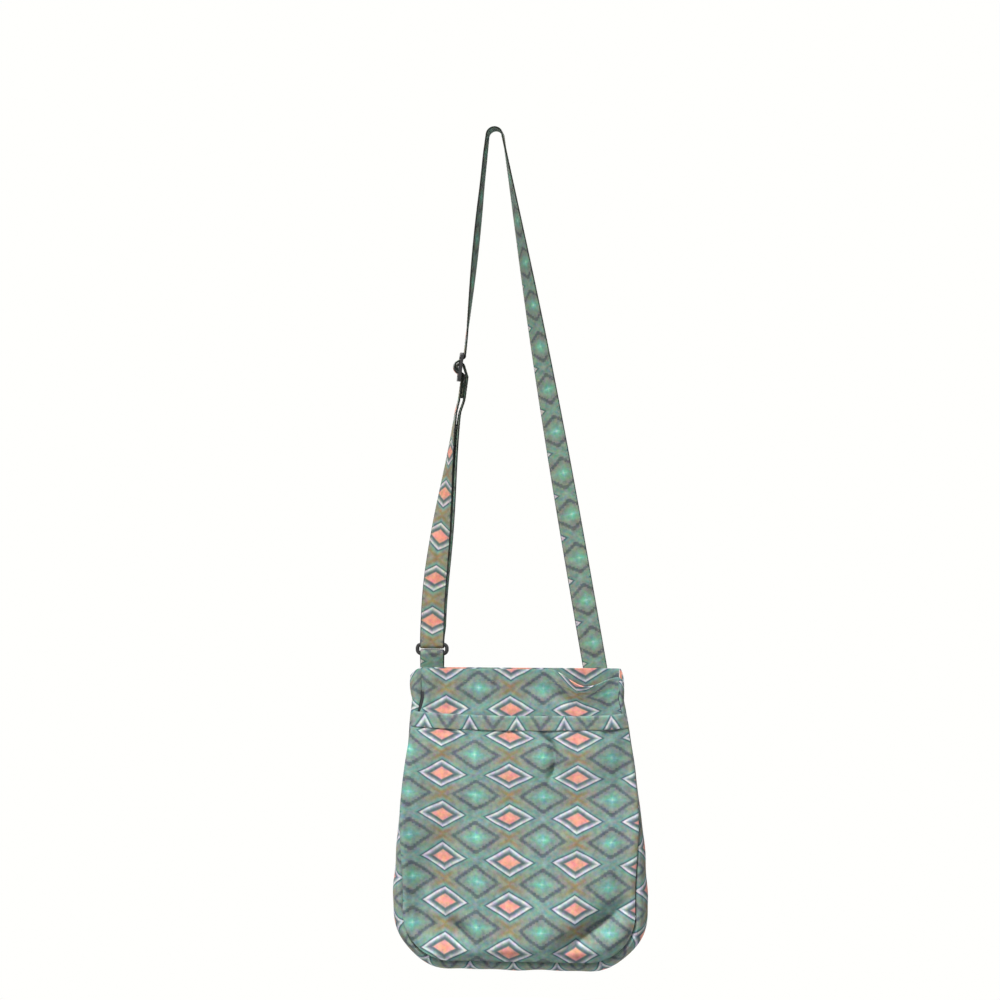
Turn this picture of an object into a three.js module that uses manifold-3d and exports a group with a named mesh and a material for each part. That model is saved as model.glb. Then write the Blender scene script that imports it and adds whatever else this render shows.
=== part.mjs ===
// A soft crossbody bag that hangs by its strap. Millimetres, +Z up, front towards -Y, +X to the right.
// The origin is the underside of the strap, where it lies over whatever carries it.
import * as THREE from "three";
import { mergeVertices } from "three/addons/utils/BufferGeometryUtils.js";
import Module from "manifold-3d";

const { lerp, smoothstep, degToRad } = THREE.MathUtils;

// Pouch
const MOUTH_WIDTH = 205; // between the side seams at the mouth
const BASE_WIDTH = 240; // between the side seams at their widest
const FLARE_START = 30; // drop from the mouth where the side seams start to flare
const FLARE_END = 170; // and where they are at their widest
const SEAM_HEIGHT = 300; // mouth edge down to the bottom seam
const CORNER_RADIUS = 50;
const MOUTH_DEPTH = 20; // front seam to back seam at the mouth
const BASE_DEPTH = 44;
const DEPTH_TAPER = 210; // drop from the mouth over which the gusset reaches its full depth
const LEFT_BOW = 12; // how far the gusset stands out past the seams at the left of the mouth
const RIGHT_BOW = 5; // and at the right
const WAIST_BOW = 3.5;
const BASE_BOW = 12;
const WAIST_DROP = 110; // where the gusset is tucked in most
const BOW_END = 240; // drop at which it has its full bow again
const GUSSET_DROOP = 8; // of the gusset's top edge, below the mouth
const DROOP_REACH = 40;
const FRONT_BELLY = 8; // how far the middle of the front stands out past its seams
const BACK_BELLY = 5;
const CLOTH = 1.5; // printed cloth with its backing
const GAP = 0.4; // left between neighbouring pieces

// Soft folds pressed into the front: centre, direction, half length, half width and depth
const FOLD_FADE = 1 / 40; // share of the way in from the seams over which a fold fades out
const FOLDS = [
  { x: 76, drop: 258, angle: 32, length: 42, width: 9, depth: 4 },
  { x: -62, drop: 272, angle: -20, length: 26, width: 8, depth: 3 },
];

// Lining
const LINING_CLOTH = 0.9;
const LINING_DROP = 24; // mouth edge down to the lining's top edge
const LINING_GAP = 1.1; // between the printed cloth and the lining

// Front slip pocket
const POCKET_DROP = 46; // mouth edge down to the pocket's top edge
const POCKET_STAND = 9; // how far the pocket's top stands off the front panel
const BAND_HEIGHT = 13;
const BAND_CLOTH = 0.9;
const POCKET_SLACK = 4; // how far the pocket's sides hang out past the seams
const SLACK_START = 150; // drop where the slack starts to fade
const SLACK_END = 230;

// Zip across the mouth, closed from the left as far as its slider
const OPEN_LENGTH = 72; // from the slider to the right side seam
const GAPE = 14; // how far the front edge falls forward there
const SAG = 16; // and down
const GAPE_REACH = 60; // drop over which the front comes back to its place
const ZIP_END = 5; // from the side seam to the end of the zip
const ZIP_DROP = 18; // mouth edge down to the chain
const TAPE_CLOTH = 0.8;
const TAPE_FALL = 5; // of the tape's sewn edge, down the panel below the chain
const TAPE_GAP = 0.8; // between a panel and the tape along it
const CHAIN_CORD = 1.2; // width of the cord that carries a row of teeth
const CHAIN_HEIGHT = 2.2;
const TOOTH_LENGTH = 2.2;
const TOOTH_WIDTH = 1.5;
const TOOTH_HEIGHT = 0.8 * CHAIN_HEIGHT; // a little lower than its cord
const TOOTH_PITCH = 4;
const TOOTH_OVERLAP = 1.8; // how far the rows reach into each other when closed
const STOP_LENGTH = 3;

// Slider and pull
const SLIDER_LENGTH = 13;
const SLIDER_PLATE = 1.2;
const SLIDER_WALL = 0.9;
const CHAIN_SPREAD = 1.9; // how far the slider's neck moves each row aside
const RUN_GAP = 0.45; // clearance of the slider on the chain
const NECK_TIP = 0.2; // width of the neck's tip
const OVERRUN = 1.1; // the slider's channel is cut this much longer than the slider
const BAIL_LENGTH = 8;
const BAIL_HEIGHT = 4;
const BAIL_BAR = 1.6;
const BAIL_WIDTH = 2;
const BAIL_CORNER = 1; // bevel of its two upper corners
const BAIL_SOLE = 0.1; // its foot, above the slider's plate
const BAIL_SINK = 0.2; // and into it
const PULL_LENGTH = 24;
const PULL_WIDTH = 7;
const PULL_THICK = 1.4;
const PULL_PIN = 1.6;

// Strap
const STRAP_WIDTH = 25;
const STRAP_THICK = 2.2;
const STRAP_DROP = 560; // carrier down to the mouth edge
const CARRIER_RADIUS = 7; // bend over whatever carries the strap
const POUCH_X = 26; // middle of the pouch to the right of the carrier
const STRAP_INSET = 25; // right side seam to the middle of the strap's end, along the mouth edge
const SEWN_LENGTH = 30; // of the strap's end and the tab, down the back of the pouch

// Ring and its tab
const RING_INSET = 9; // left side seam to the middle of the ring, along the mouth edge
const RING_BAR = 4;
const RING_INSIDE = 27;
const RING_SPACING = 9.6; // between the middles of its upper and lower bars
const RING_RISE = 14; // mouth edge up to the lower bar
const RING_CORNER = 4;

// Three-bar adjuster
const ADJUSTER_PLACE = 242; // down the left leg from the bend over the carrier
const ADJUSTER_INSIDE = 26.5;
const ADJUSTER_RIM = 3.5; // side bars
const ADJUSTER_THICK = 3.5;
const END_BAR = 4;
const MIDDLE_BAR = 3;
const SLOT = 9.5; // height of each slot
const END_LAP = 32; // sewn end of the strap, below the middle bar
const LAYER_SHARE = 0.5; // of their spacing at the bars, where the strap's two layers come together
const LAYER_RUN = 30; // over which they do
const LEG_TURN = degToRad(8); // how far the leg has turned to the front at the adjuster
const LEG_BEND = 40; // the left leg bends to the upright over this length on each side of its bend

// Facets
const SIDE_CELLS = 7;
const CORNER_CELLS = 5;
const CLOSED_CELLS = 6; // across the closed part of the mouth
const OPEN_CELLS = 8; // across its open end
const GUSSET_CELLS = 6;
const SLIDER_CELLS = 4;
const STRAP_STEP = 18;
const LEG_STEP = 27; // down the right leg, which only turns slowly
const RING_SIDES = 10;
const RING_STEPS = 3; // round each corner of the ring
const ROUND_STEPS = 4; // round each corner of the adjuster
const ARC_STEP = degToRad(24);

const MERGE = 1e-4; // points closer than this are one

const wasm = await Module();
wasm.setup();

// Builders of closed bodies

// A closed body from points and triangles, with its faces turned outwards.
function body(points, triangles) {
  const normal = new THREE.Vector3();
  const volume = triangles.reduce(
    (sum, [a, b, c]) => sum + points[a].dot(normal.crossVectors(points[b], points[c])),
    0,
  );
  const faces = volume < 0 ? triangles.map(([a, b, c]) => [a, c, b]) : triangles;
  const geometry = new THREE.BufferGeometry().setFromPoints(points);
  geometry.setIndex(faces.flat());
  geometry.computeVertexNormals();
  return geometry;
}

// A sheet with thickness: two grids of points, face to face, joined along their edges.
function sheet(near, far) {
  const rows = near.length;
  const columns = near[0].length;
  const at = (side, i, j) => (side * rows + i) * columns + j;
  const triangles = [];
  for (let i = 0; i + 1 < rows; i += 1) {
    for (let j = 0; j + 1 < columns; j += 1) {
      const square = [[i, j], [i, j + 1], [i + 1, j + 1], [i + 1, j]];
      const [a, b, c, d] = square.map(([m, n]) => at(0, m, n));
      const [e, f, g, h] = square.map(([m, n]) => at(1, m, n));
      triangles.push([a, b, c], [a, c, d], [e, g, f], [e, h, g]);
    }
  }
  const rim = [];
  for (let j = 0; j + 1 < columns; j += 1) rim.push([0, j]);
  for (let i = 0; i + 1 < rows; i += 1) rim.push([i, columns - 1]);
  for (let j = columns - 1; j > 0; j -= 1) rim.push([rows - 1, j]);
  for (let i = rows - 1; i > 0; i -= 1) rim.push([i, 0]);
  rim.forEach(([i, j], k) => {
    const [m, n] = rim[(k + 1) % rim.length];
    triangles.push([at(0, m, n), at(0, i, j), at(1, i, j)]);
    triangles.push([at(0, m, n), at(1, i, j), at(1, m, n)]);
  });
  return body([...near.flat(), ...far.flat()], triangles);
}

// A skin drawn over a row of like outlines, with flat ends unless it closes on itself.
function loft(rings, outline, closes = false) {
  const count = outline.length;
  const triangles = [];
  const spans = closes ? rings.length : rings.length - 1;
  for (let k = 0; k < spans; k += 1) {
    const next = (k + 1) % rings.length;
    for (let j = 0; j < count; j += 1) {
      const [a, b] = [k * count + j, k * count + ((j + 1) % count)];
      const [c, d] = [next * count + ((j + 1) % count), next * count + j];
      triangles.push([a, b, c], [a, c, d]);
    }
  }
  if (!closes) {
    const last = (rings.length - 1) * count;
    for (const [a, b, c] of THREE.ShapeUtils.triangulateShape(outline, [])) {
      triangles.push([a, c, b], [last + a, last + b, last + c]);
    }
  }
  return body(rings.flat(), triangles);
}

const points2 = (pairs) => pairs.map(([x, y]) => new THREE.Vector2(x, y));

// A flat outline with holes, given height along Z about z = 0.
function slab(outline, height, holes = []) {
  const shape = new THREE.Shape(points2(outline));
  shape.holes = holes.map((hole) => new THREE.Path(points2(hole)));
  const options = { depth: height, bevelEnabled: false };
  return new THREE.ExtrudeGeometry(shape, options).translate(0, 0, -height / 2);
}

function box(x0, x1, y0, y1, z0, z1) {
  const geometry = new THREE.BoxGeometry(x1 - x0, y1 - y0, z1 - z0);
  return geometry.translate((x0 + x1) / 2, (y0 + y1) / 2, (z0 + z1) / 2);
}

function toManifold(geometry) {
  const bare = geometry.clone();
  bare.deleteAttribute("normal");
  bare.deleteAttribute("uv");
  const merged = mergeVertices(bare, MERGE);
  const vertProperties = merged.attributes.position.array;
  const triVerts = new Uint32Array(merged.index.array);
  return new wasm.Manifold(new wasm.Mesh({ numProp: 3, vertProperties, triVerts }));
}

function toGeometry(manifold) {
  const mesh = manifold.getMesh();
  const geometry = new THREE.BufferGeometry();
  geometry.setAttribute("position", new THREE.BufferAttribute(mesh.vertProperties, 3));
  geometry.setIndex(new THREE.BufferAttribute(mesh.triVerts, 1));
  geometry.computeVertexNormals();
  return geometry;
}

const join = (geometries) =>
  toGeometry(geometries.map(toManifold).reduce((whole, piece) => whole.add(piece)));

const cut = (geometry, tools) =>
  toGeometry(tools.map(toManifold).reduce((whole, tool) => whole.subtract(tool), toManifold(geometry)));

// Shape of the pouch, about the middle of its mouth edge: x across, drop down from the mouth

const CORNER_DROP = SEAM_HEIGHT - CORNER_RADIUS;
const CORNER_X = BASE_WIDTH / 2 - CORNER_RADIUS;

function halfWidth(drop) {
  const down = (drop - FLARE_START) / (FLARE_END - FLARE_START);
  const flare = Math.sin((Math.PI / 2) * Math.min(Math.max(down, 0), 1));
  const side = lerp(MOUTH_WIDTH, BASE_WIDTH, flare) / 2;
  const low = Math.min(Math.max(drop - CORNER_DROP, 0), CORNER_RADIUS);
  return side - CORNER_RADIUS + Math.sqrt(CORNER_RADIUS ** 2 - low ** 2);
}

const halfDepth = (drop) => lerp(MOUTH_DEPTH, BASE_DEPTH, smoothstep(drop, 0, DEPTH_TAPER)) / 2;

// How far the gusset stands out at a place on the seam: it is tucked in at the waist.
function gussetBow(x, drop) {
  const upper = lerp(x < 0 ? LEFT_BOW : RIGHT_BOW, WAIST_BOW, smoothstep(drop, 0, WAIST_DROP));
  return upper + (BASE_BOW - WAIST_BOW) * smoothstep(drop, WAIST_DROP, BOW_END);
}

function belly(x, drop) {
  const across = Math.max(1 - (x / halfWidth(drop)) ** 2, 0);
  return across * Math.sin((Math.PI * Math.min(drop, SEAM_HEIGHT)) / SEAM_HEIGHT) ** 2;
}

const SLIDER_X = MOUTH_WIDTH / 2 - OPEN_LENGTH - SLIDER_LENGTH / 2;
const OPEN_START = SLIDER_X + SLIDER_LENGTH / 2;

// How much of the open end's gape the front has at a place.
function gape(x, drop) {
  const along = (x - OPEN_START) / (MOUTH_WIDTH / 2 - OPEN_START);
  const lens = Math.sin(Math.PI * Math.min(Math.max(along, 0), 1)) ** 2;
  return lens * Math.max(1 - drop / GAPE_REACH, 0) ** 2;
}

function foldDepth(x, drop) {
  const away = Math.max(1 - Math.abs(x) / halfWidth(drop), 0) * Math.max(1 - drop / SEAM_HEIGHT, 0);
  const hold = Math.min(away / FOLD_FADE, 1);
  return FOLDS.reduce((sum, fold) => {
    const angle = degToRad(fold.angle);
    const dx = x - fold.x;
    const dz = fold.drop - drop;
    const along = dx * Math.cos(angle) + dz * Math.sin(angle);
    const over = dz * Math.cos(angle) - dx * Math.sin(angle);
    return sum + fold.depth * hold * Math.exp(-((along / fold.length) ** 2) - (over / fold.width) ** 2);
  }, 0);
}

// A place on the front or the back, moved inwards from the cloth's face by an inset.
function onFront(x, drop, inset) {
  const lean = gape(x, drop);
  const face = halfDepth(drop) + FRONT_BELLY * belly(x, drop) - foldDepth(x, drop);
  return new THREE.Vector3(x, inset - face - GAPE * lean, -drop - SAG * lean);
}

function onBack(x, drop, inset) {
  return new THREE.Vector3(x, halfDepth(drop) + BACK_BELLY * belly(x, drop) - inset, -drop);
}

// All the sheets share one grid, so that they lie face to face: rows by their drop from the mouth,
// columns by their share of the half width.
const spaced = (from, to, cells) =>
  Array.from({ length: cells }, (_, k) => lerp(from, to, (k + 1) / cells));

const BAND_FOOT = POCKET_DROP + BAND_HEIGHT;
const rowDrops = [
  0,
  LINING_DROP,
  POCKET_DROP,
  BAND_FOOT,
  ...spaced(BAND_FOOT, CORNER_DROP, SIDE_CELLS),
  ...spaced(0, Math.PI / 2, CORNER_CELLS).map((turn) => CORNER_DROP + CORNER_RADIUS * Math.sin(turn)),
];
const OPEN_SHARE = OPEN_START / (MOUTH_WIDTH / 2);
const columns = [-1, ...spaced(-1, OPEN_SHARE, CLOSED_CELLS), ...spaced(OPEN_SHARE, 1, OPEN_CELLS)];

function panel(surface, topDrop, near, far, slack = () => 0) {
  const rows = rowDrops.filter((drop) => drop >= topDrop);
  const face = (inset) =>
    rows.map((drop) =>
      columns.map((share) => {
        const x = share * (halfWidth(drop) + slack(drop));
        return surface(x, drop, inset(x, drop));
      }),
    );
  return sheet(face(near), face(far));
}

// The strip round the sides and base, between the two seams, bowed outwards.
function gussetStrip(topDrop, near, far) {
  const sides = rowDrops.filter((drop) => drop >= topDrop);
  const left = sides.map((drop) => new THREE.Vector2(-halfWidth(drop), -drop));
  const base = columns.slice(1, -1).map((share) => new THREE.Vector2(share * CORNER_X, -SEAM_HEIGHT));
  const right = left.map((p) => new THREE.Vector2(-p.x, p.y)).reverse();
  const seam = [...left, ...base, ...right];
  const rows = (inset) =>
    seam.map((p, k) => {
      const along = seam[Math.min(k + 1, seam.length - 1)].clone().sub(seam[Math.max(k - 1, 0)]);
      const out = new THREE.Vector2(along.y, -along.x).normalize();
      const [deep, bow] = [halfDepth(-p.y) - inset, gussetBow(p.x, -p.y) - inset];
      const droop = GUSSET_DROOP * Math.max(1 + p.y / DROOP_REACH, 0);
      return Array.from({ length: GUSSET_CELLS + 1 }, (_, i) => {
        const turn = (Math.PI * i) / GUSSET_CELLS;
        const reach = GAP + bow * Math.sin(turn);
        const fall = droop * Math.sin(turn) ** 2;
        return new THREE.Vector3(p.x + out.x * reach, -deep * Math.cos(turn), p.y + out.y * reach - fall);
      });
    });
  return sheet(rows(near), rows(far));
}

// Front slip pocket and its band

function pocketStand(x, drop) {
  const across = Math.max(1 - (x / halfWidth(drop)) ** 2, 0);
  const down = Math.min(Math.max((drop - POCKET_DROP) / (SEAM_HEIGHT - POCKET_DROP), 0), 1);
  return 2 * GAP + BAND_CLOTH + POCKET_STAND * across * (1 - down) ** 2;
}

const pocketSlack = (drop) => POCKET_SLACK * (1 - smoothstep(drop, SLACK_START, SLACK_END));

const makePocket = () =>
  panel(
    onFront,
    POCKET_DROP,
    (x, drop) => -pocketStand(x, drop) - CLOTH,
    (x, drop) => -pocketStand(x, drop),
    pocketSlack,
  );

// A strip folded over the pocket's top edge: a U in section, open at the bottom.
function makeBand() {
  const [inner, outer] = [CLOTH / 2 + GAP, CLOTH / 2 + GAP + BAND_CLOTH];
  const [low, high, top] = [-BAND_HEIGHT, GAP, GAP + BAND_CLOTH];
  const outline = points2([
    [-outer, low],
    [-inner, low],
    [-inner, high],
    [inner, high],
    [inner, low],
    [outer, low],
    [outer, top],
    [-outer, top],
  ]);
  const rings = columns.map((share) =>
    outline.map((p) => {
      const drop = POCKET_DROP - Math.min(p.y, 0);
      const x = share * (halfWidth(drop) + pocketSlack(drop));
      const place = onFront(x, drop, p.x - pocketStand(x, drop) - CLOTH / 2);
      return place.setZ(place.z + Math.max(p.y, 0));
    }),
  );
  return loft(rings, outline);
}

// Zip: two tapes, two rows of teeth and their stops

const ZIP_LEFT = ZIP_END - MOUTH_WIDTH / 2;
const ZIP_RIGHT = -ZIP_LEFT;
const CHAIN_BACK = TOOTH_LENGTH - TOOTH_OVERLAP / 2; // cord's inner edge from the middle of the chain
const CHAIN_EDGE = CHAIN_BACK + CHAIN_CORD;

// How far the slider has moved each row aside.
const spread = (x) =>
  CHAIN_SPREAD * smoothstep(x, SLIDER_X - SLIDER_LENGTH / 3, SLIDER_X + SLIDER_LENGTH / 2);

// Stations along the zip between two ends: the sheets' columns, and closer ones where the slider is.
function zipStations(from, to) {
  const slider = spaced(SLIDER_X - SLIDER_LENGTH / 2, OPEN_START, SLIDER_CELLS).slice(0, -1);
  const all = [...columns.map((share) => (share * MOUTH_WIDTH) / 2), ...slider];
  return [from, ...all.filter((x) => x > from && x < to).sort((a, b) => a - b), to];
}

// A place on the front half of the zip, carried with the gaping front, or on the back half.
function onZip(side, x, across, rise) {
  const drop = ZIP_DROP - rise;
  const lean = side < 0 ? gape(x, drop) : 0;
  return new THREE.Vector3(x, side * across - GAPE * lean, -drop - SAG * lean);
}

function makeTape(side) {
  const wall = MOUTH_DEPTH / 2 - CLOTH - TAPE_GAP;
  const [low, high] = [-TAPE_CLOTH / 2, TAPE_CLOTH / 2];
  const section = (edge) => [
    [edge, low],
    [wall - TAPE_CLOTH, low],
    [wall - TAPE_CLOTH, -TAPE_FALL],
    [wall, -TAPE_FALL],
    [wall, high],
    [edge, high],
  ];
  const rings = zipStations(ZIP_LEFT, ZIP_RIGHT).map((x) =>
    section(CHAIN_EDGE + GAP + spread(x)).map(([across, rise]) => onZip(side, x, across, rise)),
  );
  return loft(rings, points2(section(CHAIN_EDGE + GAP)));
}

function makeChain(side) {
  const [from, to] = [ZIP_LEFT + STOP_LENGTH + GAP, ZIP_RIGHT - STOP_LENGTH - GAP];
  const half = CHAIN_HEIGHT / 2;
  const section = [[CHAIN_BACK, -half], [CHAIN_EDGE, -half], [CHAIN_EDGE, half], [CHAIN_BACK, half]];
  const rings = zipStations(from, to).map((x) =>
    section.map(([across, rise]) => onZip(side, x, across + spread(x), rise)),
  );
  const pieces = [loft(rings, points2(section))];
  const first = from + TOOTH_WIDTH + (side < 0 ? 0 : TOOTH_PITCH / 2);
  const root = CHAIN_BACK + CHAIN_CORD / 2; // a tooth starts inside its cord
  for (let x = first; x + TOOTH_WIDTH < to; x += TOOTH_PITCH) {
    const seat = onZip(side, x, spread(x), 0);
    const length = root - CHAIN_BACK + TOOTH_LENGTH;
    const tooth = new THREE.BoxGeometry(TOOTH_WIDTH, length, TOOTH_HEIGHT);
    const middle = (root + CHAIN_BACK - TOOTH_LENGTH) / 2;
    pieces.push(tooth.translate(seat.x, seat.y + side * middle, seat.z));
  }
  return join(pieces);
}

function makeEndStop() {
  const half = CHAIN_HEIGHT / 2;
  const stop = box(ZIP_LEFT, ZIP_LEFT + STOP_LENGTH, -CHAIN_EDGE, CHAIN_EDGE, -half, half);
  return stop.translate(0, 0, -ZIP_DROP);
}

function makeTopStop(side) {
  const x = ZIP_RIGHT - STOP_LENGTH / 2;
  const seat = onZip(side, x, (CHAIN_BACK + CHAIN_EDGE) / 2 + spread(x), 0);
  return new THREE.BoxGeometry(STOP_LENGTH, CHAIN_CORD, CHAIN_HEIGHT).translate(seat.x, seat.y, seat.z);
}

// Slider: two plates joined by a neck, with lips that hold the two rows, and a bail for the pull.
// It is modelled about the middle of the chain.

const CHANNEL_HEIGHT = CHAIN_HEIGHT + 2 * RUN_GAP;
const SLIDER_HEIGHT = CHANNEL_HEIGHT + 2 * SLIDER_PLATE;
const BAIL_SEAT = SLIDER_HEIGHT / 2;
const PIN_RISE = BAIL_SEAT + (BAIL_HEIGHT - BAIL_BAR) / 2;

function makeSlider() {
  const half = SLIDER_LENGTH / 2;
  const reach = (x) => CHAIN_EDGE + RUN_GAP + spread(SLIDER_X + x);
  const stations = [-half, -half / 2, 0, half / 2, half];
  const wings = (extra, past) => [
    ...stations.map((x) => [x * past, -reach(x) - extra]),
    ...stations.toReversed().map((x) => [x * past, reach(x) + extra]),
  ];
  const plate = slab(wings(SLIDER_WALL, 1), SLIDER_HEIGHT);
  const neckTip = half / 3;
  const neckHalf = CHAIN_SPREAD - TOOTH_OVERLAP / 2 - RUN_GAP;
  const open = half * OVERRUN;
  const tip = NECK_TIP / 2;
  const neck = [[open, -neckHalf], [neckTip, -tip], [neckTip, tip], [open, neckHalf]];
  const channel = wings(0, OVERRUN);
  channel.splice(stations.length, 0, ...neck);
  const lips = [-1, 1].map((side) => {
    const edge = (places, out) => places.map((x) => [x * OVERRUN, side * (reach(x) + out)]);
    const inside = edge(stations, -RUN_GAP / 2);
    const outside = edge(stations.toReversed(), 2 * SLIDER_WALL);
    return slab([...inside, ...outside], TAPE_CLOTH + 2 * RUN_GAP);
  });
  const block = cut(plate, [slab(channel, CHANNEL_HEIGHT), ...lips]);
  const [long, tall] = [BAIL_LENGTH / 2, BAIL_HEIGHT];
  const arch = [
    [-long, -BAIL_SINK],
    [-long, tall - BAIL_CORNER],
    [BAIL_CORNER - long, tall],
    [long - BAIL_CORNER, tall],
    [long, tall - BAIL_CORNER],
    [long, -BAIL_SINK],
  ];
  const hole = [
    [BAIL_BAR - long, BAIL_SOLE],
    [long - BAIL_BAR, BAIL_SOLE],
    [long - BAIL_BAR, tall - BAIL_BAR],
    [BAIL_BAR - long, tall - BAIL_BAR],
  ];
  const bail = slab(arch, BAIL_WIDTH, [hole]).rotateX(Math.PI / 2).translate(0, 0, BAIL_SEAT);
  return join([block, bail]);
}

// Pull: a flat tab with a window that the bail stands in, lying back along the closed chain.
function makePull() {
  const half = PULL_WIDTH / 2;
  const pin = PULL_PIN / 2;
  const window = Math.hypot(BAIL_LENGTH / 2, BAIL_HEIGHT) + GAP;
  const side = BAIL_WIDTH / 2 + GAP;
  const outline = [
    [pin, -half],
    [pin, half],
    [-window, half],
    [-PULL_LENGTH + half, half],
    [-PULL_LENGTH, half / 2],
    [-PULL_LENGTH, -half / 2],
    [-PULL_LENGTH + half, -half],
    [-window, -half],
  ];
  const hole = [[-pin, -side], [-pin, side], [-window, side], [-window, -side]];
  return slab(outline, PULL_THICK, [hole]);
}

// Strap, drawn tight round the bars that it passes

const STRAP_END_X = POUCH_X + MOUTH_WIDTH / 2 - STRAP_INSET;
const RING_X = POUCH_X - MOUTH_WIDTH / 2 + RING_INSET;

// The heading of a line that leaves post a and meets post b. A turn of 1 goes round counter-clockwise.
function heading(a, b) {
  const [dx, dy] = [b.x - a.x, b.y - a.y];
  const aside = (b.turn * b.r - a.turn * a.r) / Math.hypot(dx, dy);
  return Math.atan2(dy, dx) - Math.asin(aside);
}

// Places on a post, from one heading to another.
function around(post, from, to) {
  const full = 2 * Math.PI;
  const swept = post.turn * ((((post.turn * (to - from)) % full) + full) % full);
  const steps = Math.max(Math.ceil(Math.abs(swept) / ARC_STEP), 1);
  return Array.from({ length: steps + 1 }, (_, k) => {
    const angle = from + (swept * k) / steps;
    const away = post.turn * post.r;
    return { x: post.x + away * Math.sin(angle), y: post.y - away * Math.cos(angle), angle };
  });
}

// A tight line from a start, round each post, to an end: places with their headings.
function belt(start, posts, end) {
  const free = { r: 0, turn: 1 };
  const stops = [{ ...start, ...free }, ...posts, { ...end, ...free }];
  const headings = stops.slice(1).map((stop, k) => heading(stops[k], stop));
  const route = [{ ...start, angle: headings[0] }];
  posts.forEach((post, k) => {
    for (const place of around(post, headings[k], headings[k + 1])) {
      route.push(...between(route.at(-1), place), place);
    }
  });
  const last = { ...end, angle: headings.at(-1) };
  return [...route, ...between(route.at(-1), last), last];
}

// Places that divide a long straight run.
function between(a, b) {
  const count = Math.ceil(Math.hypot(b.x - a.x, b.y - a.y) / STRAP_STEP);
  return Array.from({ length: count - 1 }, (_, k) => {
    const t = (k + 1) / count;
    return { x: lerp(a.x, b.x, t), y: lerp(a.y, b.y, t), angle: b.angle };
  });
}

const BACK_SEAT = GAP + STRAP_THICK / 2; // cloth's face to the middle of a strap laid on it

// The middle of a strap laid on the back of the pouch at a place measured from the carrier.
function backSeat(x, drop) {
  const places = [-0.5, 0, 0.5].map((k) => x - POUCH_X + k * STRAP_WIDTH);
  return Math.max(...places.map((place) => onBack(place, Math.max(drop, 0), 0).y)) + BACK_SEAT;
}

const TAB_NEAR = backSeat(RING_X, 0);
const TAB_FAR = TAB_NEAR + STRAP_THICK + GAP;
const RING_Y = (TAB_NEAR + TAB_FAR) / 2;
const RING_LOW = RING_RISE - STRAP_DROP;
const RING_HIGH = RING_LOW + RING_SPACING;
const RING_LOOP = RING_BAR / 2 + GAP + STRAP_THICK / 2; // middle of a strap that goes round a ring bar

const carrier = { x: 0, y: -CARRIER_RADIUS, r: CARRIER_RADIUS + STRAP_THICK / 2, turn: 1 };
const strapFoot = { x: STRAP_END_X, y: -STRAP_DROP, r: 0, turn: 1 };
const legBend = { x: RING_X, y: RING_HIGH + LEG_BEND, r: 0, turn: 1 };
const upHeading = heading(strapFoot, carrier);
const downHeading = heading(carrier, legBend);
const bend = around(carrier, upHeading, downHeading);

// The left leg's line: straight from the carrier, then curving to the upright above the ring.
const legTop = new THREE.Vector3(bend.at(-1).x, 0, bend.at(-1).y);
const legKnee = new THREE.Vector3(RING_X, RING_Y, legBend.y);
const legFoot = new THREE.Vector3(RING_X, RING_Y, RING_HIGH);
const kneeStart = legKnee.clone().lerp(legTop, LEG_BEND / legKnee.distanceTo(legTop));
const leg = new THREE.CurvePath();
leg.add(new THREE.LineCurve3(legTop, kneeStart));
leg.add(new THREE.QuadraticBezierCurve3(kneeStart, legKnee, legFoot));
const LEG_LENGTH = leg.getLength();

// A place on the leg at a length down it, with two directions: along it, and out of the strap's face,
// which turns to the front.
function legFrame(length) {
  const t = Math.min(Math.max(length / LEG_LENGTH, 0), 1);
  const along = leg.getTangentAt(t);
  const upper = LEG_TURN * smoothstep(length, 0, ADJUSTER_PLACE - END_LAP);
  const lower = smoothstep(length, ADJUSTER_PLACE + END_LAP, LEG_LENGTH - LEG_BEND / 2);
  const turn = lerp(upper, Math.PI / 2, lower);
  const left = new THREE.Vector3(-1, 0, 0).projectOnPlane(along).normalize();
  const front = new THREE.Vector3().crossVectors(left, along).negate();
  if (front.y > 0) front.negate();
  const out = left.multiplyScalar(Math.cos(turn)).addScaledVector(front, Math.sin(turn));
  const past = length - t * LEG_LENGTH;
  return { place: leg.getPointAt(t).addScaledVector(along, past), along, out };
}

// The strap through the adjuster, round the ring and back to the adjuster's middle bar, laid out flat:
// x is out of the strap's face, y is down the leg.
function legRoute() {
  const layer = STRAP_THICK + GAP;
  const barHalf = ADJUSTER_THICK / 2;
  const corner = MIDDLE_BAR / 2 + SLOT;
  const close = GAP + STRAP_THICK / 2;
  const loop = Math.hypot(MIDDLE_BAR / 2, barHalf) + close;
  const post = (y, r, turn) => ({ x: -barHalf, y: ADJUSTER_PLACE + y, r, turn });
  const middle = (r) => ({ x: 0, y: ADJUSTER_PLACE, r, turn: 1 });
  const ring = { x: 0, y: LEG_LENGTH, r: RING_LOOP, turn: 1 };
  const lap = (END_LAP - corner) / (LEG_LENGTH - ADJUSTER_PLACE - corner);
  const tip = { x: lerp(-barHalf - close - layer, 0, lap), y: ADJUSTER_PLACE + END_LAP };
  const posts = [
    post(-corner, close, -1),
    middle(loop + layer),
    post(corner, close, -1),
    ring,
    post(corner, close + 2 * layer, 1),
    middle(loop),
    post(corner, close + layer, -1),
  ];
  return belt({ x: 0, y: STRAP_STEP }, posts, tip);
}

// Share of their spacing that the strap's layers keep at a length down the leg.
function layerShare(length) {
  const [top, low] = [ADJUSTER_PLACE + END_LAP, LEG_LENGTH - RING_LOOP];
  const away = smoothstep(length, top, top + LAYER_RUN) * (1 - smoothstep(length, low - LAYER_RUN, low));
  return lerp(1, LAYER_SHARE, away);
}

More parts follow.
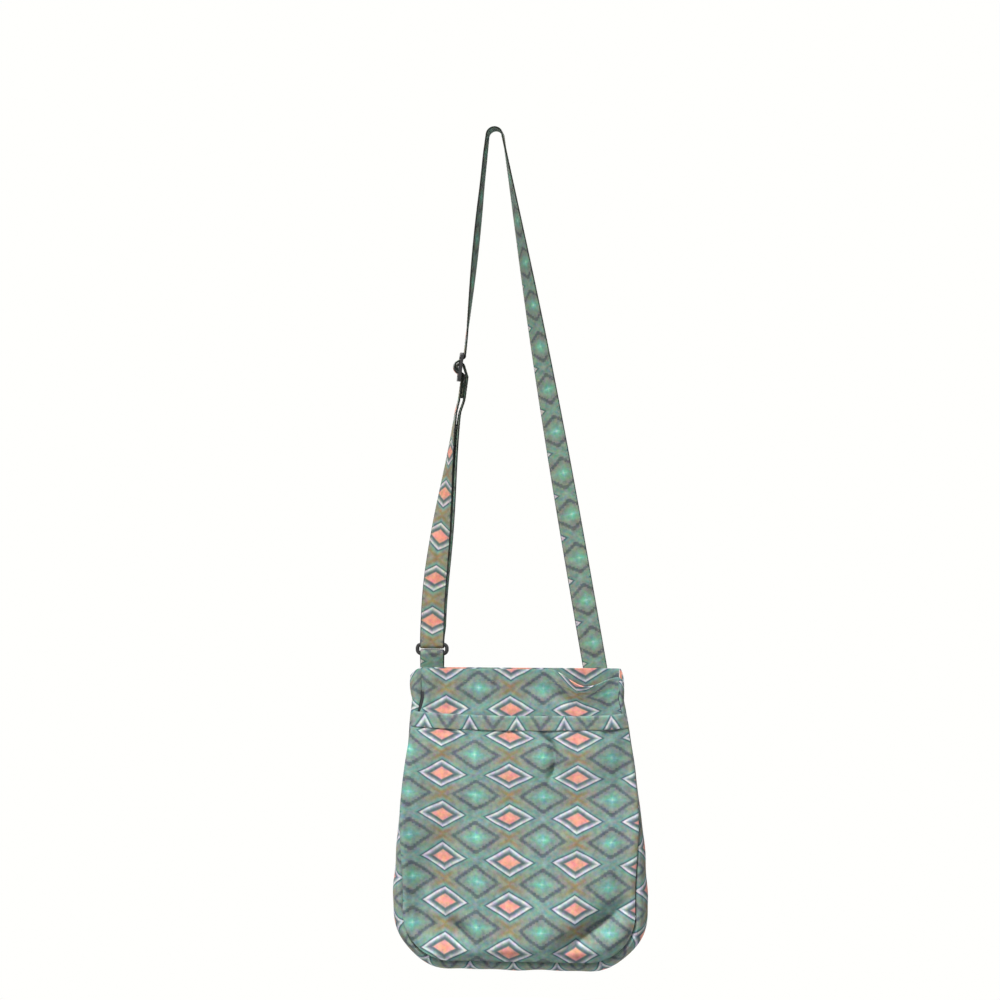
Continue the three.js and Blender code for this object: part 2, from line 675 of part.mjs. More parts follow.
const strapOutline = [
  [-STRAP_WIDTH / 2, 0],
  [-STRAP_WIDTH / 2 + STRAP_THICK / 3, -STRAP_THICK / 2],
  [STRAP_WIDTH / 2 - STRAP_THICK / 3, -STRAP_THICK / 2],
  [STRAP_WIDTH / 2, 0],
  [STRAP_WIDTH / 2 - STRAP_THICK / 3, STRAP_THICK / 2],
  [-STRAP_WIDTH / 2 + STRAP_THICK / 3, STRAP_THICK / 2],
];

// The strap's section at a place, across the strap and out of its face.
function strapRing(place, along, out) {
  const across = new THREE.Vector3().crossVectors(along, out).normalize();
  return strapOutline.map(([w, h]) => place.clone().addScaledVector(across, w).addScaledVector(out, h));
}

function makeStrap() {
  const rings = [];
  const rise = new THREE.Vector3(Math.cos(upHeading), 0, Math.sin(upHeading));
  const back = new THREE.Vector3(0, 1, 0);
  const right = new THREE.Vector3(1, 0, 0).projectOnPlane(rise).normalize();
  const foot = new THREE.Vector3(strapFoot.x, backSeat(STRAP_END_X, 0), strapFoot.y);
  for (const sewn of [1, 0.5]) {
    const place = foot.clone().addScaledVector(rise, -sewn * SEWN_LENGTH);
    place.y = backSeat(place.x, -STRAP_DROP - place.z);
    rings.push(strapRing(place, rise, back));
  }
  const legEnd = new THREE.Vector3(bend[0].x, 0, bend[0].y);
  const steps = Math.ceil(foot.distanceTo(legEnd) / LEG_STEP);
  for (let k = 0; k < steps; k += 1) {
    const rest = 1 - k / steps;
    const turn = (Math.PI / 4) * (rest + Math.sin((Math.PI / 2) * rest));
    const out = right.clone().multiplyScalar(Math.cos(turn)).addScaledVector(back, Math.sin(turn));
    rings.push(strapRing(foot.clone().lerp(legEnd, k / steps), rise, out));
  }
  for (const { x, y, angle } of bend) {
    const along = new THREE.Vector3(Math.cos(angle), 0, Math.sin(angle));
    const out = new THREE.Vector3(Math.sin(angle), 0, -Math.cos(angle));
    rings.push(strapRing(new THREE.Vector3(x, 0, y), along, out));
  }
  for (const { x, y, angle } of legRoute()) {
    const frame = legFrame(y);
    const [across, down] = [Math.cos(angle), Math.sin(angle)];
    const along = frame.out.clone().multiplyScalar(across).addScaledVector(frame.along, down);
    const out = frame.out.clone().multiplyScalar(down).addScaledVector(frame.along, -across);
    rings.push(strapRing(frame.place.addScaledVector(frame.out, x * layerShare(y)), along, out));
  }
  return loft(rings, points2(strapOutline));
}

// Tab: a short length of strap folded round the ring's lower bar and sewn down the back.
function makeTab() {
  const bar = { x: RING_Y, y: RING_LOW, r: RING_LOOP, turn: -1 };
  const loop = belt({ x: TAB_NEAR, y: -STRAP_DROP }, [bar], { x: TAB_FAR, y: -STRAP_DROP });
  const drops = [SEWN_LENGTH, SEWN_LENGTH / 2];
  const sewn = (out, angle) =>
    drops.map((drop) => ({ x: backSeat(RING_X, drop) + out, y: -STRAP_DROP - drop, angle }));
  const front = sewn(0, Math.PI / 2);
  const rear = sewn(TAB_FAR - TAB_NEAR, -Math.PI / 2);
  const route = [...front, ...loop, ...rear.toReversed()];
  const rings = route.map(({ x, y, angle }) => {
    const along = new THREE.Vector3(0, Math.cos(angle), Math.sin(angle));
    const out = new THREE.Vector3(0, Math.sin(angle), -Math.cos(angle));
    return strapRing(new THREE.Vector3(RING_X, x, y), along, out);
  });
  return loft(rings, points2(strapOutline));
}

// Ring: a round bar bent to a rectangle with rounded corners.
function makeRing() {
  const [wide, tall] = [(RING_INSIDE + RING_BAR) / 2, RING_SPACING / 2];
  const corners = [[wide, tall, 0], [-wide, tall, 1], [-wide, -tall, 2], [wide, -tall, 3]];
  const circle = Array.from({ length: RING_SIDES }, (_, k) => (2 * Math.PI * k) / RING_SIDES);
  const rings = corners.flatMap(([x, z, quarter]) =>
    Array.from({ length: RING_STEPS + 1 }, (_, step) => {
      const angle = (Math.PI / 2) * (quarter + step / RING_STEPS);
      const [outX, outZ] = [Math.cos(angle), Math.sin(angle)];
      const centre = [x - Math.sign(x) * RING_CORNER, z - Math.sign(z) * RING_CORNER];
      return circle.map((turn) => {
        const reach = RING_CORNER + (RING_BAR / 2) * Math.cos(turn);
        const depth = (RING_BAR / 2) * Math.sin(turn);
        return new THREE.Vector3(centre[0] + outX * reach, depth, centre[1] + outZ * reach);
      });
    }),
  );
  return loft(rings, points2(circle.map((turn) => [Math.cos(turn), Math.sin(turn)])), true);
}

// Adjuster: a flat frame with two slots and a bar between them.
function makeAdjuster() {
  const [wide, tall] = [ADJUSTER_INSIDE / 2 + ADJUSTER_RIM, MIDDLE_BAR / 2 + SLOT + END_BAR];
  const round = ADJUSTER_RIM;
  const outline = new THREE.Shape();
  outline.moveTo(wide - round, -tall);
  outline.absarc(wide - round, round - tall, round, -Math.PI / 2, 0, false);
  outline.absarc(wide - round, tall - round, round, 0, Math.PI / 2, false);
  outline.absarc(round - wide, tall - round, round, Math.PI / 2, Math.PI, false);
  outline.absarc(round - wide, round - tall, round, Math.PI, 1.5 * Math.PI, false);
  const inside = ADJUSTER_INSIDE / 2;
  for (const side of [-1, 1]) {
    const [low, high] = [(side * MIDDLE_BAR) / 2, side * (MIDDLE_BAR / 2 + SLOT)];
    const slot = [[-inside, low], [inside, low], [inside, high], [-inside, high]];
    outline.holes.push(new THREE.Path(points2(slot)));
  }
  const options = { depth: ADJUSTER_THICK, bevelEnabled: false, curveSegments: ROUND_STEPS };
  return new THREE.ExtrudeGeometry(outline, options).translate(0, 0, -ADJUSTER_THICK / 2);
}

// The bag

const PRINT = { color: 0x86998f, roughness: 0.9, metalness: 0 };
const LINING = { color: 0x39424a, roughness: 0.9, metalness: 0 };
const BLACK_TAPE = { color: 0x1c1d20, roughness: 0.85, metalness: 0 };
const BLACK_PLASTIC = { color: 0x141416, roughness: 0.35, metalness: 0 };
const DARK_METAL = { color: 0x55575a, roughness: 0.35, metalness: 1 };

function piece(name, geometry, finish) {
  const mesh = new THREE.Mesh(geometry, new THREE.MeshStandardMaterial(finish));
  mesh.name = name;
  return mesh;
}

const level = (value) => () => value;
const liningFace = CLOTH + LINING_GAP;

const pouch = new THREE.Group();
pouch.position.set(POUCH_X, 0, -STRAP_DROP);
pouch.add(piece("front_panel", panel(onFront, 0, level(0), level(CLOTH)), PRINT));
pouch.add(piece("back_panel", panel(onBack, 0, level(0), level(CLOTH)), PRINT));
pouch.add(piece("gusset", gussetStrip(0, 0, CLOTH), PRINT));
pouch.add(piece("front_pocket", makePocket(), PRINT));
pouch.add(piece("pocket_band", makeBand(), PRINT));
const liningBack = liningFace + LINING_CLOTH;
for (const [name, surface] of [["lining_front", onFront], ["lining_back", onBack]]) {
  pouch.add(piece(name, panel(surface, LINING_DROP, level(liningFace), level(liningBack)), LINING));
}
pouch.add(piece("lining_gusset", gussetStrip(LINING_DROP, liningFace, liningBack), LINING));
for (const [name, side] of [["front", -1], ["back", 1]]) {
  pouch.add(piece(`zip_tape_${name}`, makeTape(side), BLACK_TAPE));
  pouch.add(piece(`zip_chain_${name}`, makeChain(side), BLACK_PLASTIC));
  pouch.add(piece(`zip_top_stop_${name}`, makeTopStop(side), DARK_METAL));
}
pouch.add(piece("zip_end_stop", makeEndStop(), DARK_METAL));
const slider = piece("zip_slider", makeSlider(), DARK_METAL);
slider.position.set(SLIDER_X, 0, -ZIP_DROP);
const pull = piece("zip_pull", makePull(), DARK_METAL);
pull.position.set(SLIDER_X, 0, PIN_RISE - ZIP_DROP);
pouch.add(slider, pull);

const ring = piece("ring", makeRing(), BLACK_PLASTIC);
ring.position.set(RING_X, RING_Y, (RING_LOW + RING_HIGH) / 2);

const adjuster = piece("adjuster", makeAdjuster(), BLACK_PLASTIC);
const adjusterFrame = legFrame(ADJUSTER_PLACE);
const adjusterAcross = new THREE.Vector3().crossVectors(adjusterFrame.along, adjusterFrame.out);
const adjusterUp = adjusterFrame.along.clone().negate();
adjuster.matrixAutoUpdate = false;
adjuster.matrix.makeBasis(adjusterAcross, adjusterUp, adjusterFrame.out);
adjuster.matrix.setPosition(adjusterFrame.place);

const bag = new THREE.Group();
bag.add(pouch, piece("strap", makeStrap(), PRINT), piece("strap_tab", makeTab(), PRINT));
bag.add(ring, adjuster);

export default bag;
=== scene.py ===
# %% [markdown]
# # A printed crossbody bag
# A flat cloth pouch with a slip pocket hangs by a long strap that can be made shorter.
# Every sheet here is a formula on a grid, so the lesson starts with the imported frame, which says
# where each piece is, and then works out the cloth, the fittings, the finishes and the light.

import bmesh
import bpy
import numpy as np
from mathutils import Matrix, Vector


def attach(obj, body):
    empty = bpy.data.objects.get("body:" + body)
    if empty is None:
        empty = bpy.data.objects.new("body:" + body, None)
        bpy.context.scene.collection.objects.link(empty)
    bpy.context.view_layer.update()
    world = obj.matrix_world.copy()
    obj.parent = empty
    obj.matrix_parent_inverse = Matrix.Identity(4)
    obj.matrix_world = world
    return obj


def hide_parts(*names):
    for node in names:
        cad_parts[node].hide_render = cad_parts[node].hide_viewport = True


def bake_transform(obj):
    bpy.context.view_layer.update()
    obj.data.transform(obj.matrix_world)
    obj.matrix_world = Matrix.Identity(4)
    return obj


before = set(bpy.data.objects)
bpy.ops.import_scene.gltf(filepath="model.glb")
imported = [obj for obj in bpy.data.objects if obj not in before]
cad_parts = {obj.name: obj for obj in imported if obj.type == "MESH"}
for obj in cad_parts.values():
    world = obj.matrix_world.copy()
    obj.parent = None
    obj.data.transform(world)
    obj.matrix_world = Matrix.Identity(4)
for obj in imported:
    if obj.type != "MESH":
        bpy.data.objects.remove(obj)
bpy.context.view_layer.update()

# %% [markdown]
# ## Camera
# The picture is square and shows about 1.04 m. The right gusset shows a little more than the left
# one, so the camera stands a few degrees to the right, level, at about 2.2 m.

# %% Camera
VIEW_WIDTH = 1.04  # metres across the picture at the bag
VIEW_DISTANCE = 2.2
VIEW_TURN = np.radians(5.0)
VIEW_CENTRE = Vector((0.005, 0.0, -0.385))

camera = bpy.data.objects.new("camera", bpy.data.cameras.new("camera"))
bpy.context.scene.collection.objects.link(camera)
camera.location = VIEW_CENTRE + VIEW_DISTANCE * Vector((np.sin(VIEW_TURN), -np.cos(VIEW_TURN), 0))
camera.rotation_euler = (np.pi / 2, 0, VIEW_TURN)
camera.data.lens = camera.data.sensor_width * VIEW_DISTANCE / VIEW_WIDTH
bpy.context.scene.camera = camera
print("lens", round(camera.data.lens, 1), "mm")

# %% [markdown]
# ## From a grid to a mesh
# A surface is a grid of points. It could be pulled into shape by hand, but numbers put it exactly where
# the solids are. One helper turns any grid into a mesh with a UV map, which holds the cloth's own
# coordinates in metres, so that a print can follow the cloth round a fold.

# %% Grid to mesh
MM = 0.001


def mesh_object(name, points, faces, uv=None):
    """Points in millimetres and faces of four corners make a smooth mesh; uv is per corner."""
    mesh = bpy.data.meshes.new(name)
    mesh.vertices.add(len(points))
    mesh.vertices.foreach_set("co", (points * MM).astype(np.float32).ravel())
    mesh.loops.add(faces.size)
    mesh.loops.foreach_set("vertex_index", faces.astype(np.int32).ravel())
    mesh.polygons.add(len(faces))
    mesh.polygons.foreach_set("loop_start", np.arange(0, faces.size, 4, dtype=np.int32))
    if uv is not None:
        layer = mesh.uv_layers.new(name="cloth")
        layer.data.foreach_set("uv", (uv * MM).astype(np.float32).ravel())
    mesh.update(calc_edges=True)
    mesh.shade_smooth()
    obj = bpy.data.objects.new(name, mesh)
    bpy.context.scene.collection.objects.link(obj)
    return obj


def squares(rows, columns, round_rows=False, round_columns=False):
    """Corner numbers of a grid's squares, twice: wrapped for points, unwrapped for uv."""
    row = np.arange(rows - (not round_rows))[:, None]
    column = np.arange(columns - (not round_columns))[None, :]
    steps = [(0, 0), (0, 1), (1, 1), (1, 0)]
    wide = columns + round_columns
    wrapped = [(row + i) % rows * columns + (column + j) % columns for i, j in steps]
    plain = [(row + i) * wide + (column + j) for i, j in steps]
    return [np.stack(corners, -1).reshape(-1, 4) for corners in (wrapped, plain)]


def weld(obj, distance=1e-7):
    """Points at one place become one, and faces with no area go."""
    work = bmesh.new()
    work.from_mesh(obj.data)
    bmesh.ops.remove_doubles(work, verts=work.verts, dist=distance)
    work.to_mesh(obj.data)
    work.free()
    return obj


def surface(name, points, uv=None, flip=False, **wrap):
    """A mesh over a grid of points, rows by columns; flip turns its faces round."""
    faces, uv_faces = squares(*points.shape[:2], **wrap)
    if flip:
        faces, uv_faces = faces[:, ::-1], uv_faces[:, ::-1]
    corner_uv = None if uv is None else uv.reshape(-1, 2)[uv_faces]
    return mesh_object(name, points.reshape(-1, 3), faces, corner_uv)


CUT_EDGE = np.radians(50)  # a cut edge turns by more than this


def thicken(obj, thickness, rounding):
    """Cloth gets its thickness on the inner side, and its cut edges are rounded."""
    solid = obj.modifiers.new("cloth", "SOLIDIFY")
    solid.thickness, solid.offset = thickness * MM, -1
    bevel = obj.modifiers.new("edges", "BEVEL")
    bevel.width, bevel.segments = rounding * MM, 2
    bevel.limit_method, bevel.angle_limit = "ANGLE", CUT_EDGE
    return obj


# %% [markdown]
# ## The pouch's shape
# The pouch is measured about the middle of its mouth edge: x to the right and drop downwards. Its
# side seams flare to the base and end in round corners, the gusset deepens downwards, and the open
# end of the mouth falls forward. A flat pattern and a simulation could find such a shape, but not at a
# given place. The formulas are those of the solids, with more swell near the seams and a fallen corner.

# %% Pouch formulas
POUCH = np.array([26.0, 0.0, -560.0])  # middle of the mouth edge
MOUTH_WIDTH, BASE_WIDTH, SEAM_HEIGHT, CORNER_RADIUS = 205.0, 240.0, 300.0, 50.0
CORNER_DROP = SEAM_HEIGHT - CORNER_RADIUS
CORNER_X = BASE_WIDTH / 2 - CORNER_RADIUS
MOUTH_DEPTH, BASE_DEPTH, DEPTH_TAPER = 20.0, 44.0, 210.0
FLARE_START, FLARE_END = 30.0, 170.0
LEFT_BOW, RIGHT_BOW, WAIST_BOW, BASE_BOW = 12.0, 5.0, 3.5, 12.0
WAIST_DROP, BOW_END, GUSSET_DROOP, DROOP_REACH = 110.0, 240.0, 8.0, 40.0
FRONT_BELLY, BACK_BELLY = 8.0, 5.0
CLOTH, GAP = 1.5, 0.4
OPEN_START, GAPE, SAG, GAPE_REACH = 30.5, 7.0, 13.0, 60.0
CORNER_FALL = 8.0  # of the front's right corner, where the sag ends


def smooth(x, low, high):
    """Rises from 0 at low to 1 at high, level at both ends."""
    t = np.clip((x - low) / (high - low), 0, 1)
    return t * t * (3 - 2 * t)


def half_width(drop):
    """Half the width between the side seams: a sine flare, then a round corner."""
    down = np.clip((drop - FLARE_START) / (FLARE_END - FLARE_START), 0, 1)
    flare = np.sin(np.pi / 2 * down)
    side = (MOUTH_WIDTH + (BASE_WIDTH - MOUTH_WIDTH) * flare) / 2
    low = np.clip(drop - CORNER_DROP, 0, CORNER_RADIUS)
    return side - CORNER_RADIUS + np.sqrt(CORNER_RADIUS**2 - low**2)


def half_depth(drop):
    """Half the depth between the front and back seams."""
    return (MOUTH_DEPTH + (BASE_DEPTH - MOUTH_DEPTH) * smooth(drop, 0, DEPTH_TAPER)) / 2


def gusset_bow(x, drop):
    """How far the gusset stands out past the seams: it is tucked in at the waist."""
    mouth = np.where(x < 0, LEFT_BOW, RIGHT_BOW)
    upper = mouth + (WAIST_BOW - mouth) * smooth(drop, 0, WAIST_DROP)
    return upper + (BASE_BOW - WAIST_BOW) * smooth(drop, WAIST_DROP, BOW_END)


def share_in(x, drop):
    """1 on the middle line, falling to 0 at the side seams."""
    return np.maximum(1 - (x / half_width(drop)) ** 2, 0)


def belly(x, drop):
    """The swell of a panel: full in the middle, none at the seams and the mouth."""
    return share_in(x, drop) * np.sin(np.pi * np.minimum(drop, SEAM_HEIGHT) / SEAM_HEIGHT) ** 2


def gape(x, drop):
    """Share of the open end's gape: a lens along the mouth that dies away downwards."""
    along = np.clip((x - OPEN_START) / (MOUTH_WIDTH / 2 - OPEN_START), 0, 1)
    return np.sin(np.pi * along) ** 2 * np.maximum(1 - drop / GAPE_REACH, 0) ** 2


def hang(x, drop):
    """How far the front hangs down at the open end: the sag, which ends in the fallen corner."""
    right = smooth(x, OPEN_START, MOUTH_WIDTH / 2)
    return SAG * gape(x, drop) + CORNER_FALL * right * np.maximum(1 - drop / GAPE_REACH, 0) ** 2


def to_seam(x, drop):
    """Distance in from the seam, as in a box with round corners, at most the corner radius."""
    straight = half_width(np.minimum(drop, CORNER_DROP)) - CORNER_RADIUS
    side = np.maximum(np.abs(x) - straight, 0)
    return CORNER_RADIUS - np.hypot(side, np.maximum(drop - CORNER_DROP, 0))


print("width at the base", round(2 * float(half_width(CORNER_DROP))), "mm")

# %% [markdown]
# ## Creases
# Cloth that has been carried has soft folds. A cloth simulation could make some, but not at chosen
# places, so each one is given: a long Gaussian dent with a place, a direction and a depth. A
# negative depth makes a swell. The folds go through all layers of the front, and each other list belongs
# to one layer. Seams draw the cloth in.

# %% Creases and seams
TUCK, TUCK_REACH = 2.6, 3.2  # how far a seam draws the cloth in, and over what width
SLIT_DROP, SLIT_REACH, SLIT = 31.0, 12.0, 1.6  # the left seam gapes here, above the pocket
FLAT_SHARE, FLAT_START, FLAT_END = 0.7, 45.0, 80.0  # the right seam draws in less, above the pocket
PUCKER, PUCKER_WAVES = 0.25, ((11.3, 17.0), (5.1, -23.0))  # share of the tuck, and lengths down and across
DENT_FADE, WAVE_FADE = 8.0, 14.0  # from the seams, where dents and waves die away
FULLNESS = 0.6  # makes the front swell sooner from its seams
LEAST_SHARE = 1e-6  # keeps a share above 0, where a negative power needs it

# height, then two crossed sines: wave number along x, wave number along the drop, and phase
WAVES = [
    (1.1, (0.043, 0.021, 0.8), (-0.017, 0.034, 0.3)),
    (0.35, (0.105, -0.06, 0.0), (0.05, 0.078, 1.1)),
]

# x, drop, direction in degrees, half length, half width, depth
FOLDS = [
    (78, 262, 35, 46, 8.5, 10.5),
    (-62, 268, -38, 17, 7.5, 8.5),
    (-96, 185, 88, 110, 26, 6.0),
    (110, 138, 90, 58, 20, 8.0),
    (-92, 228, 0, 26, 60, 9.5),
]
POCKET_CREASES = [
    (4, 138, 0, 92, 50, 3.8),
    (-4, 288, 0, 84, 54, -9.0),
    (108, 46, 0, 32, 40, -9.0),
    (-92, 80, 0, 30, 42, -5.5),
    (42, 254, 40, 66, 32, -9.5),
    (98, 288, 40, 30, 16, -5.0),
    (104, 224, 60, 40, 14, 2.6),
    (-88, 222, 86, 52, 17, 2.4),
    (-90, 266, -50, 18, 7, 3.4),
    (-84, 244, 80, 26, 8, -1.6),
    (-36, 286, 100, 12, 5, 1.6),
    (46, 288, 64, 14, 6, 2.2),
    (27.5, 68.5, -43, 8, 3.0, 5.0),
    (35, 82, -75, 11, 3.2, 6.6),
    (35, 102, -105, 11, 3.2, 5.6),
    (24, 90, 92, 22, 8, -4.5),
    (46, 92, 95, 20, 7, -2.5),
    (-47, 66, 80, 12, 4.0, 2.6),
    (-66, 84, 60, 20, 7, 1.8),
    (88, 64, 86, 12, 4.0, 2.8),
    (-86, 66, -62, 11, 4.0, 2.2),
    (-8, 64, 84, 10, 4.0, 1.4),
    (96, 118, 72, 42, 12, 2.6),
    (72, 128, 55, 36, 12, 1.6),
    (-58, 160, 52, 46, 15, 2.0),
    (10, 168, 38, 44, 16, 1.6),
]
UPPER_CREASES = [
    (0, -6, 0, 120, 30, -2.2),
    (-24, 14, 76, 12, 3.6, 2.0),
    (-86, 26, 70, 18, 6.0, 2.2),
    (38, 26, -20, 30, 7, 2.2),
    (102, 6, 0, 24, 26, -4.0),
    (-60, 36, 8, 34, 7, 1.4),
    (-50, 10, 60, 12, 4, 1.0),
    (8, 30, 70, 14, 5, 1.2),
    (94, 28, 84, 34, 9, 3.0),
]
BACK_CREASES = [(-40, 200, 25, 50, 10, 2.5), (60, 120, -35, 45, 9, 2.0), (10, 265, 8, 60, 9, 2.2)]


def off_seams(x, drop, reach):
    """0 at the seams and 1 further in: one less a Gaussian of the distance from the seam."""
    return 1 - np.exp(-((to_seam(x, drop) / reach) ** 2))


def dents(x, drop, creases):
    """The sum of the creases' depths, each a Gaussian in its own direction, held off the seams."""
    total = np.zeros(np.broadcast(x, drop).shape)
    for place_x, place_drop, degrees, length, width, depth in creases:
        turn = np.radians(degrees)
        dx, dz = x - place_x, place_drop - drop
        along = dx * np.cos(turn) + dz * np.sin(turn)
        over = dz * np.cos(turn) - dx * np.sin(turn)
        total += depth * np.exp(-((along / length) ** 2) - (over / width) ** 2)
    return total * off_seams(x, drop, DENT_FADE)


def drape(x, drop):
    """Slow waves of the hanging cloth: pairs of crossed sines, held off the seams."""
    total = 0
    for height, *pair in WAVES:
        first, second = [np.sin(by_x * x + by_drop * drop + phase) for by_x, by_drop, phase in pair]
        total = total + height * first * second
    return total * off_seams(x, drop, WAVE_FADE)


def drawn_in(x, drop):
    """How far the seam has drawn the cloth in: a round shoulder, deeper at the slit on the left."""
    slit = SLIT * np.exp(-(((drop - SLIT_DROP) / SLIT_REACH) ** 2)) * (x < 0)
    flat = FLAT_SHARE * (1 - smooth(drop, FLAT_START, FLAT_END)) * (x > 0)
    slow, quick = [np.sin(drop / down + x / across) for down, across in PUCKER_WAVES]
    uneven = 1 - flat + PUCKER * slow * quick
    return TUCK * (uneven + slit) * np.exp(-((to_seam(x, drop) / TUCK_REACH) ** 2))


def on_front(x, drop, inset):
    """A place on the front: its depth, swell, folds and gape, moved inwards by an inset."""
    lean = gape(x, drop)
    fuller = np.maximum(share_in(x, drop), LEAST_SHARE) ** -FULLNESS
    face = half_depth(drop) + FRONT_BELLY * belly(x, drop) * fuller - dents(x, drop, FOLDS)
    return POUCH + np.stack([x, inset - face - GAPE * lean, -drop - hang(x, drop)], -1)


def on_back(x, drop, inset):
    """A place on the back, moved inwards by an inset."""
    face = half_depth(drop) + BACK_BELLY * belly(x, drop)
    return POUCH + np.stack([x, face - inset, -drop], -1)


print("creases", sum(len(creases) for creases in (FOLDS, POCKET_CREASES, UPPER_CREASES, BACK_CREASES)))

# %% [markdown]
# ## The print on the cloth
# The cloth carries a lattice of lozenges, 67.7 mm wide and 44.4 mm high, which is cut at another
# place for each piece. A mesh could be unwrapped for this, but here the UV map of a piece is its own
# cloth coordinate, with a coral lozenge at zero, so it needs no unwrapping. The gusset and the pocket's
# band are cut across the cloth, so their two axes change places.

# %% Panels
LATTICE_WIDTH, LATTICE_HEIGHT = 67.7, 44.4
CORAL_X, UPPER_CORAL = -8.6, 41.6  # a coral lozenge of the front, across and down
POCKET_CORAL, POCKET_PITCH, PITCH_GAIN = 66.0, 41.2, 0.65  # the pocket's rows widen downwards
SLANT = 0.03  # its cloth was cut a little off the lattice
POCKET_DROP, POCKET_STAND, BAND_HEIGHT, BAND_CLOTH = 46.0, 9.0, 13.0, 0.9
POCKET_SLACK, SLACK_START, SLACK_END = 4.0, 150.0, 230.0
POCKET_SAG, SAG_END = 3.0, 130.0  # of the middle of its top edge
HOLLOW_FADE = (36.0, 66.0)  # the upper creases die away here, behind the pocket's top edge
WAVES_FULL, POCKET_TUCK = 100.0, 0.7  # where the pocket's waves are full, and its share of the tuck
CROWDING = 1.2  # draws the columns together towards the seams


def crowded(count):
    """Shares from -1 to 1, closer together towards both ends: the sines of even steps."""
    return np.sin(np.linspace(-1, 1, count) * CROWDING) / np.sin(CROWDING)


def panel_grid(top, side_rows=140, corner_rows=26, columns=165):
    """Rows by their drop, closer round the corners, and columns by their share of the width."""
    corner = CORNER_DROP + CORNER_RADIUS * np.sin(np.linspace(0, np.pi / 2, corner_rows)[1:])
    drop = np.concatenate([np.linspace(top, CORNER_DROP, side_rows), corner])[:, None]
    share = crowded(columns)[None, :]
    return share * half_width(drop), drop + 0 * share


def upper_hollow(x, drop):
    """The creases of the front above the pocket."""
    return dents(x, drop, UPPER_CREASES) * (1 - smooth(drop, *HOLLOW_FADE))


def back_hollow(x, drop):
    """The creases and waves of the back."""
    return dents(x, drop, BACK_CREASES) + drape(x, drop)


def pocket_stand(x, drop):
    """How far the pocket stands off the front panel: most in the middle of its top edge."""
    down = np.clip((drop - POCKET_DROP) / (SEAM_HEIGHT - POCKET_DROP), 0, 1)
    return 2 * GAP + BAND_CLOTH + POCKET_STAND * share_in(x, drop) * (1 - down) ** 2


def pocket_inset(x, drop):
    """The pocket's outer face, with its creases, waves and drawn-in seams."""
    soft = dents(x, drop, POCKET_CREASES) + drape(x, drop) * smooth(drop, POCKET_DROP, WAVES_FULL)
    return soft + POCKET_TUCK * drawn_in(x, drop) - pocket_stand(x, drop) - CLOTH


def on_pocket(x, drop, inset):
    """A place on the pocket, whose sides hang out past the seams."""
    points = on_front(x, drop, pocket_inset(x, drop) + inset)
    slack = POCKET_SLACK * (1 - smooth(drop, SLACK_START, SLACK_END))
    points[..., 0] += x / half_width(drop) * slack
    points[..., 2] -= POCKET_SAG * share_in(x, drop) * (1 - smooth(drop, POCKET_DROP, SAG_END))
    return points


def pocket_row(drop):
    """The number of lattice rows below the pocket's first, from their widening pitch."""
    fall = POCKET_PITCH**2 + 4 * PITCH_GAIN * (drop - POCKET_CORAL)
    return (np.sqrt(fall) - POCKET_PITCH) / (2 * PITCH_GAIN)


x, drop = panel_grid(0)
front_panel = surface(
    "front_panel_cloth",
    on_front(x, drop, upper_hollow(x, drop) + drawn_in(x, drop)),
    np.stack([x - CORAL_X, drop - UPPER_CORAL], -1),
    flip=True,
)
back_inset = back_hollow(x, drop) + drawn_in(np.abs(x), drop)
back_panel = surface("back_panel_cloth", on_back(x, drop, back_inset), np.stack([x, drop], -1))
x, drop = panel_grid(POCKET_DROP)
pocket = surface(
    "front_pocket_cloth",
    on_pocket(x, drop, 0),
    np.stack([x - CORAL_X, LATTICE_HEIGHT * pocket_row(drop - SLANT * x)], -1),
    flip=True,
)
for sheet in (front_panel, back_panel, pocket):
    thicken(sheet, CLOTH, rounding=0.65)
print("panel", len(front_panel.data.polygons), "faces, pocket", len(pocket.data.polygons))

# %% [markdown]
# ## Gusset
# The gusset is one strip that runs down the left side, along the base and up the right side. Its
# path is the seam line, and its section is half an ellipse that bows outwards. A curve with a bevel
# could carry one section, but here the section deepens and narrows on its way.

# %% Gusset
GUSSET_MOTIF_X, MOTIF_TIP = -5.1, -22.8  # where the print starts along the base, and across a strip
GUSSET_TUCK, GUSSET_TUCK_REACH = 2.0, 2.5
RIPPLE, RIPPLE_LENGTHS = 0.07, (8.7, 31.0)  # share of the bow, and lengths along the seam


def ripple(along, quick, slow):
    """A quick sine inside a slow one, so that no two of its waves are alike."""
    return np.sin(along / quick) * np.sin(along / slow + 1)


def seam_path(top, side_rows=90, corner_rows=24, base_rows=48):
    """The seam line from the left of the mouth round to the right: x and drop of its points."""
    turn = np.linspace(0, np.pi / 2, corner_rows)[1:]
    corner = CORNER_DROP + CORNER_RADIUS * np.sin(turn)
    drop = np.concatenate([np.linspace(top, CORNER_DROP, side_rows), corner])
    base = np.linspace(-CORNER_X, CORNER_X, base_rows)[1:-1]
    x = np.concatenate([-half_width(drop), base, half_width(drop)[::-1]])
    return x, np.concatenate([drop, np.full(base.shape, SEAM_HEIGHT), drop[::-1]])


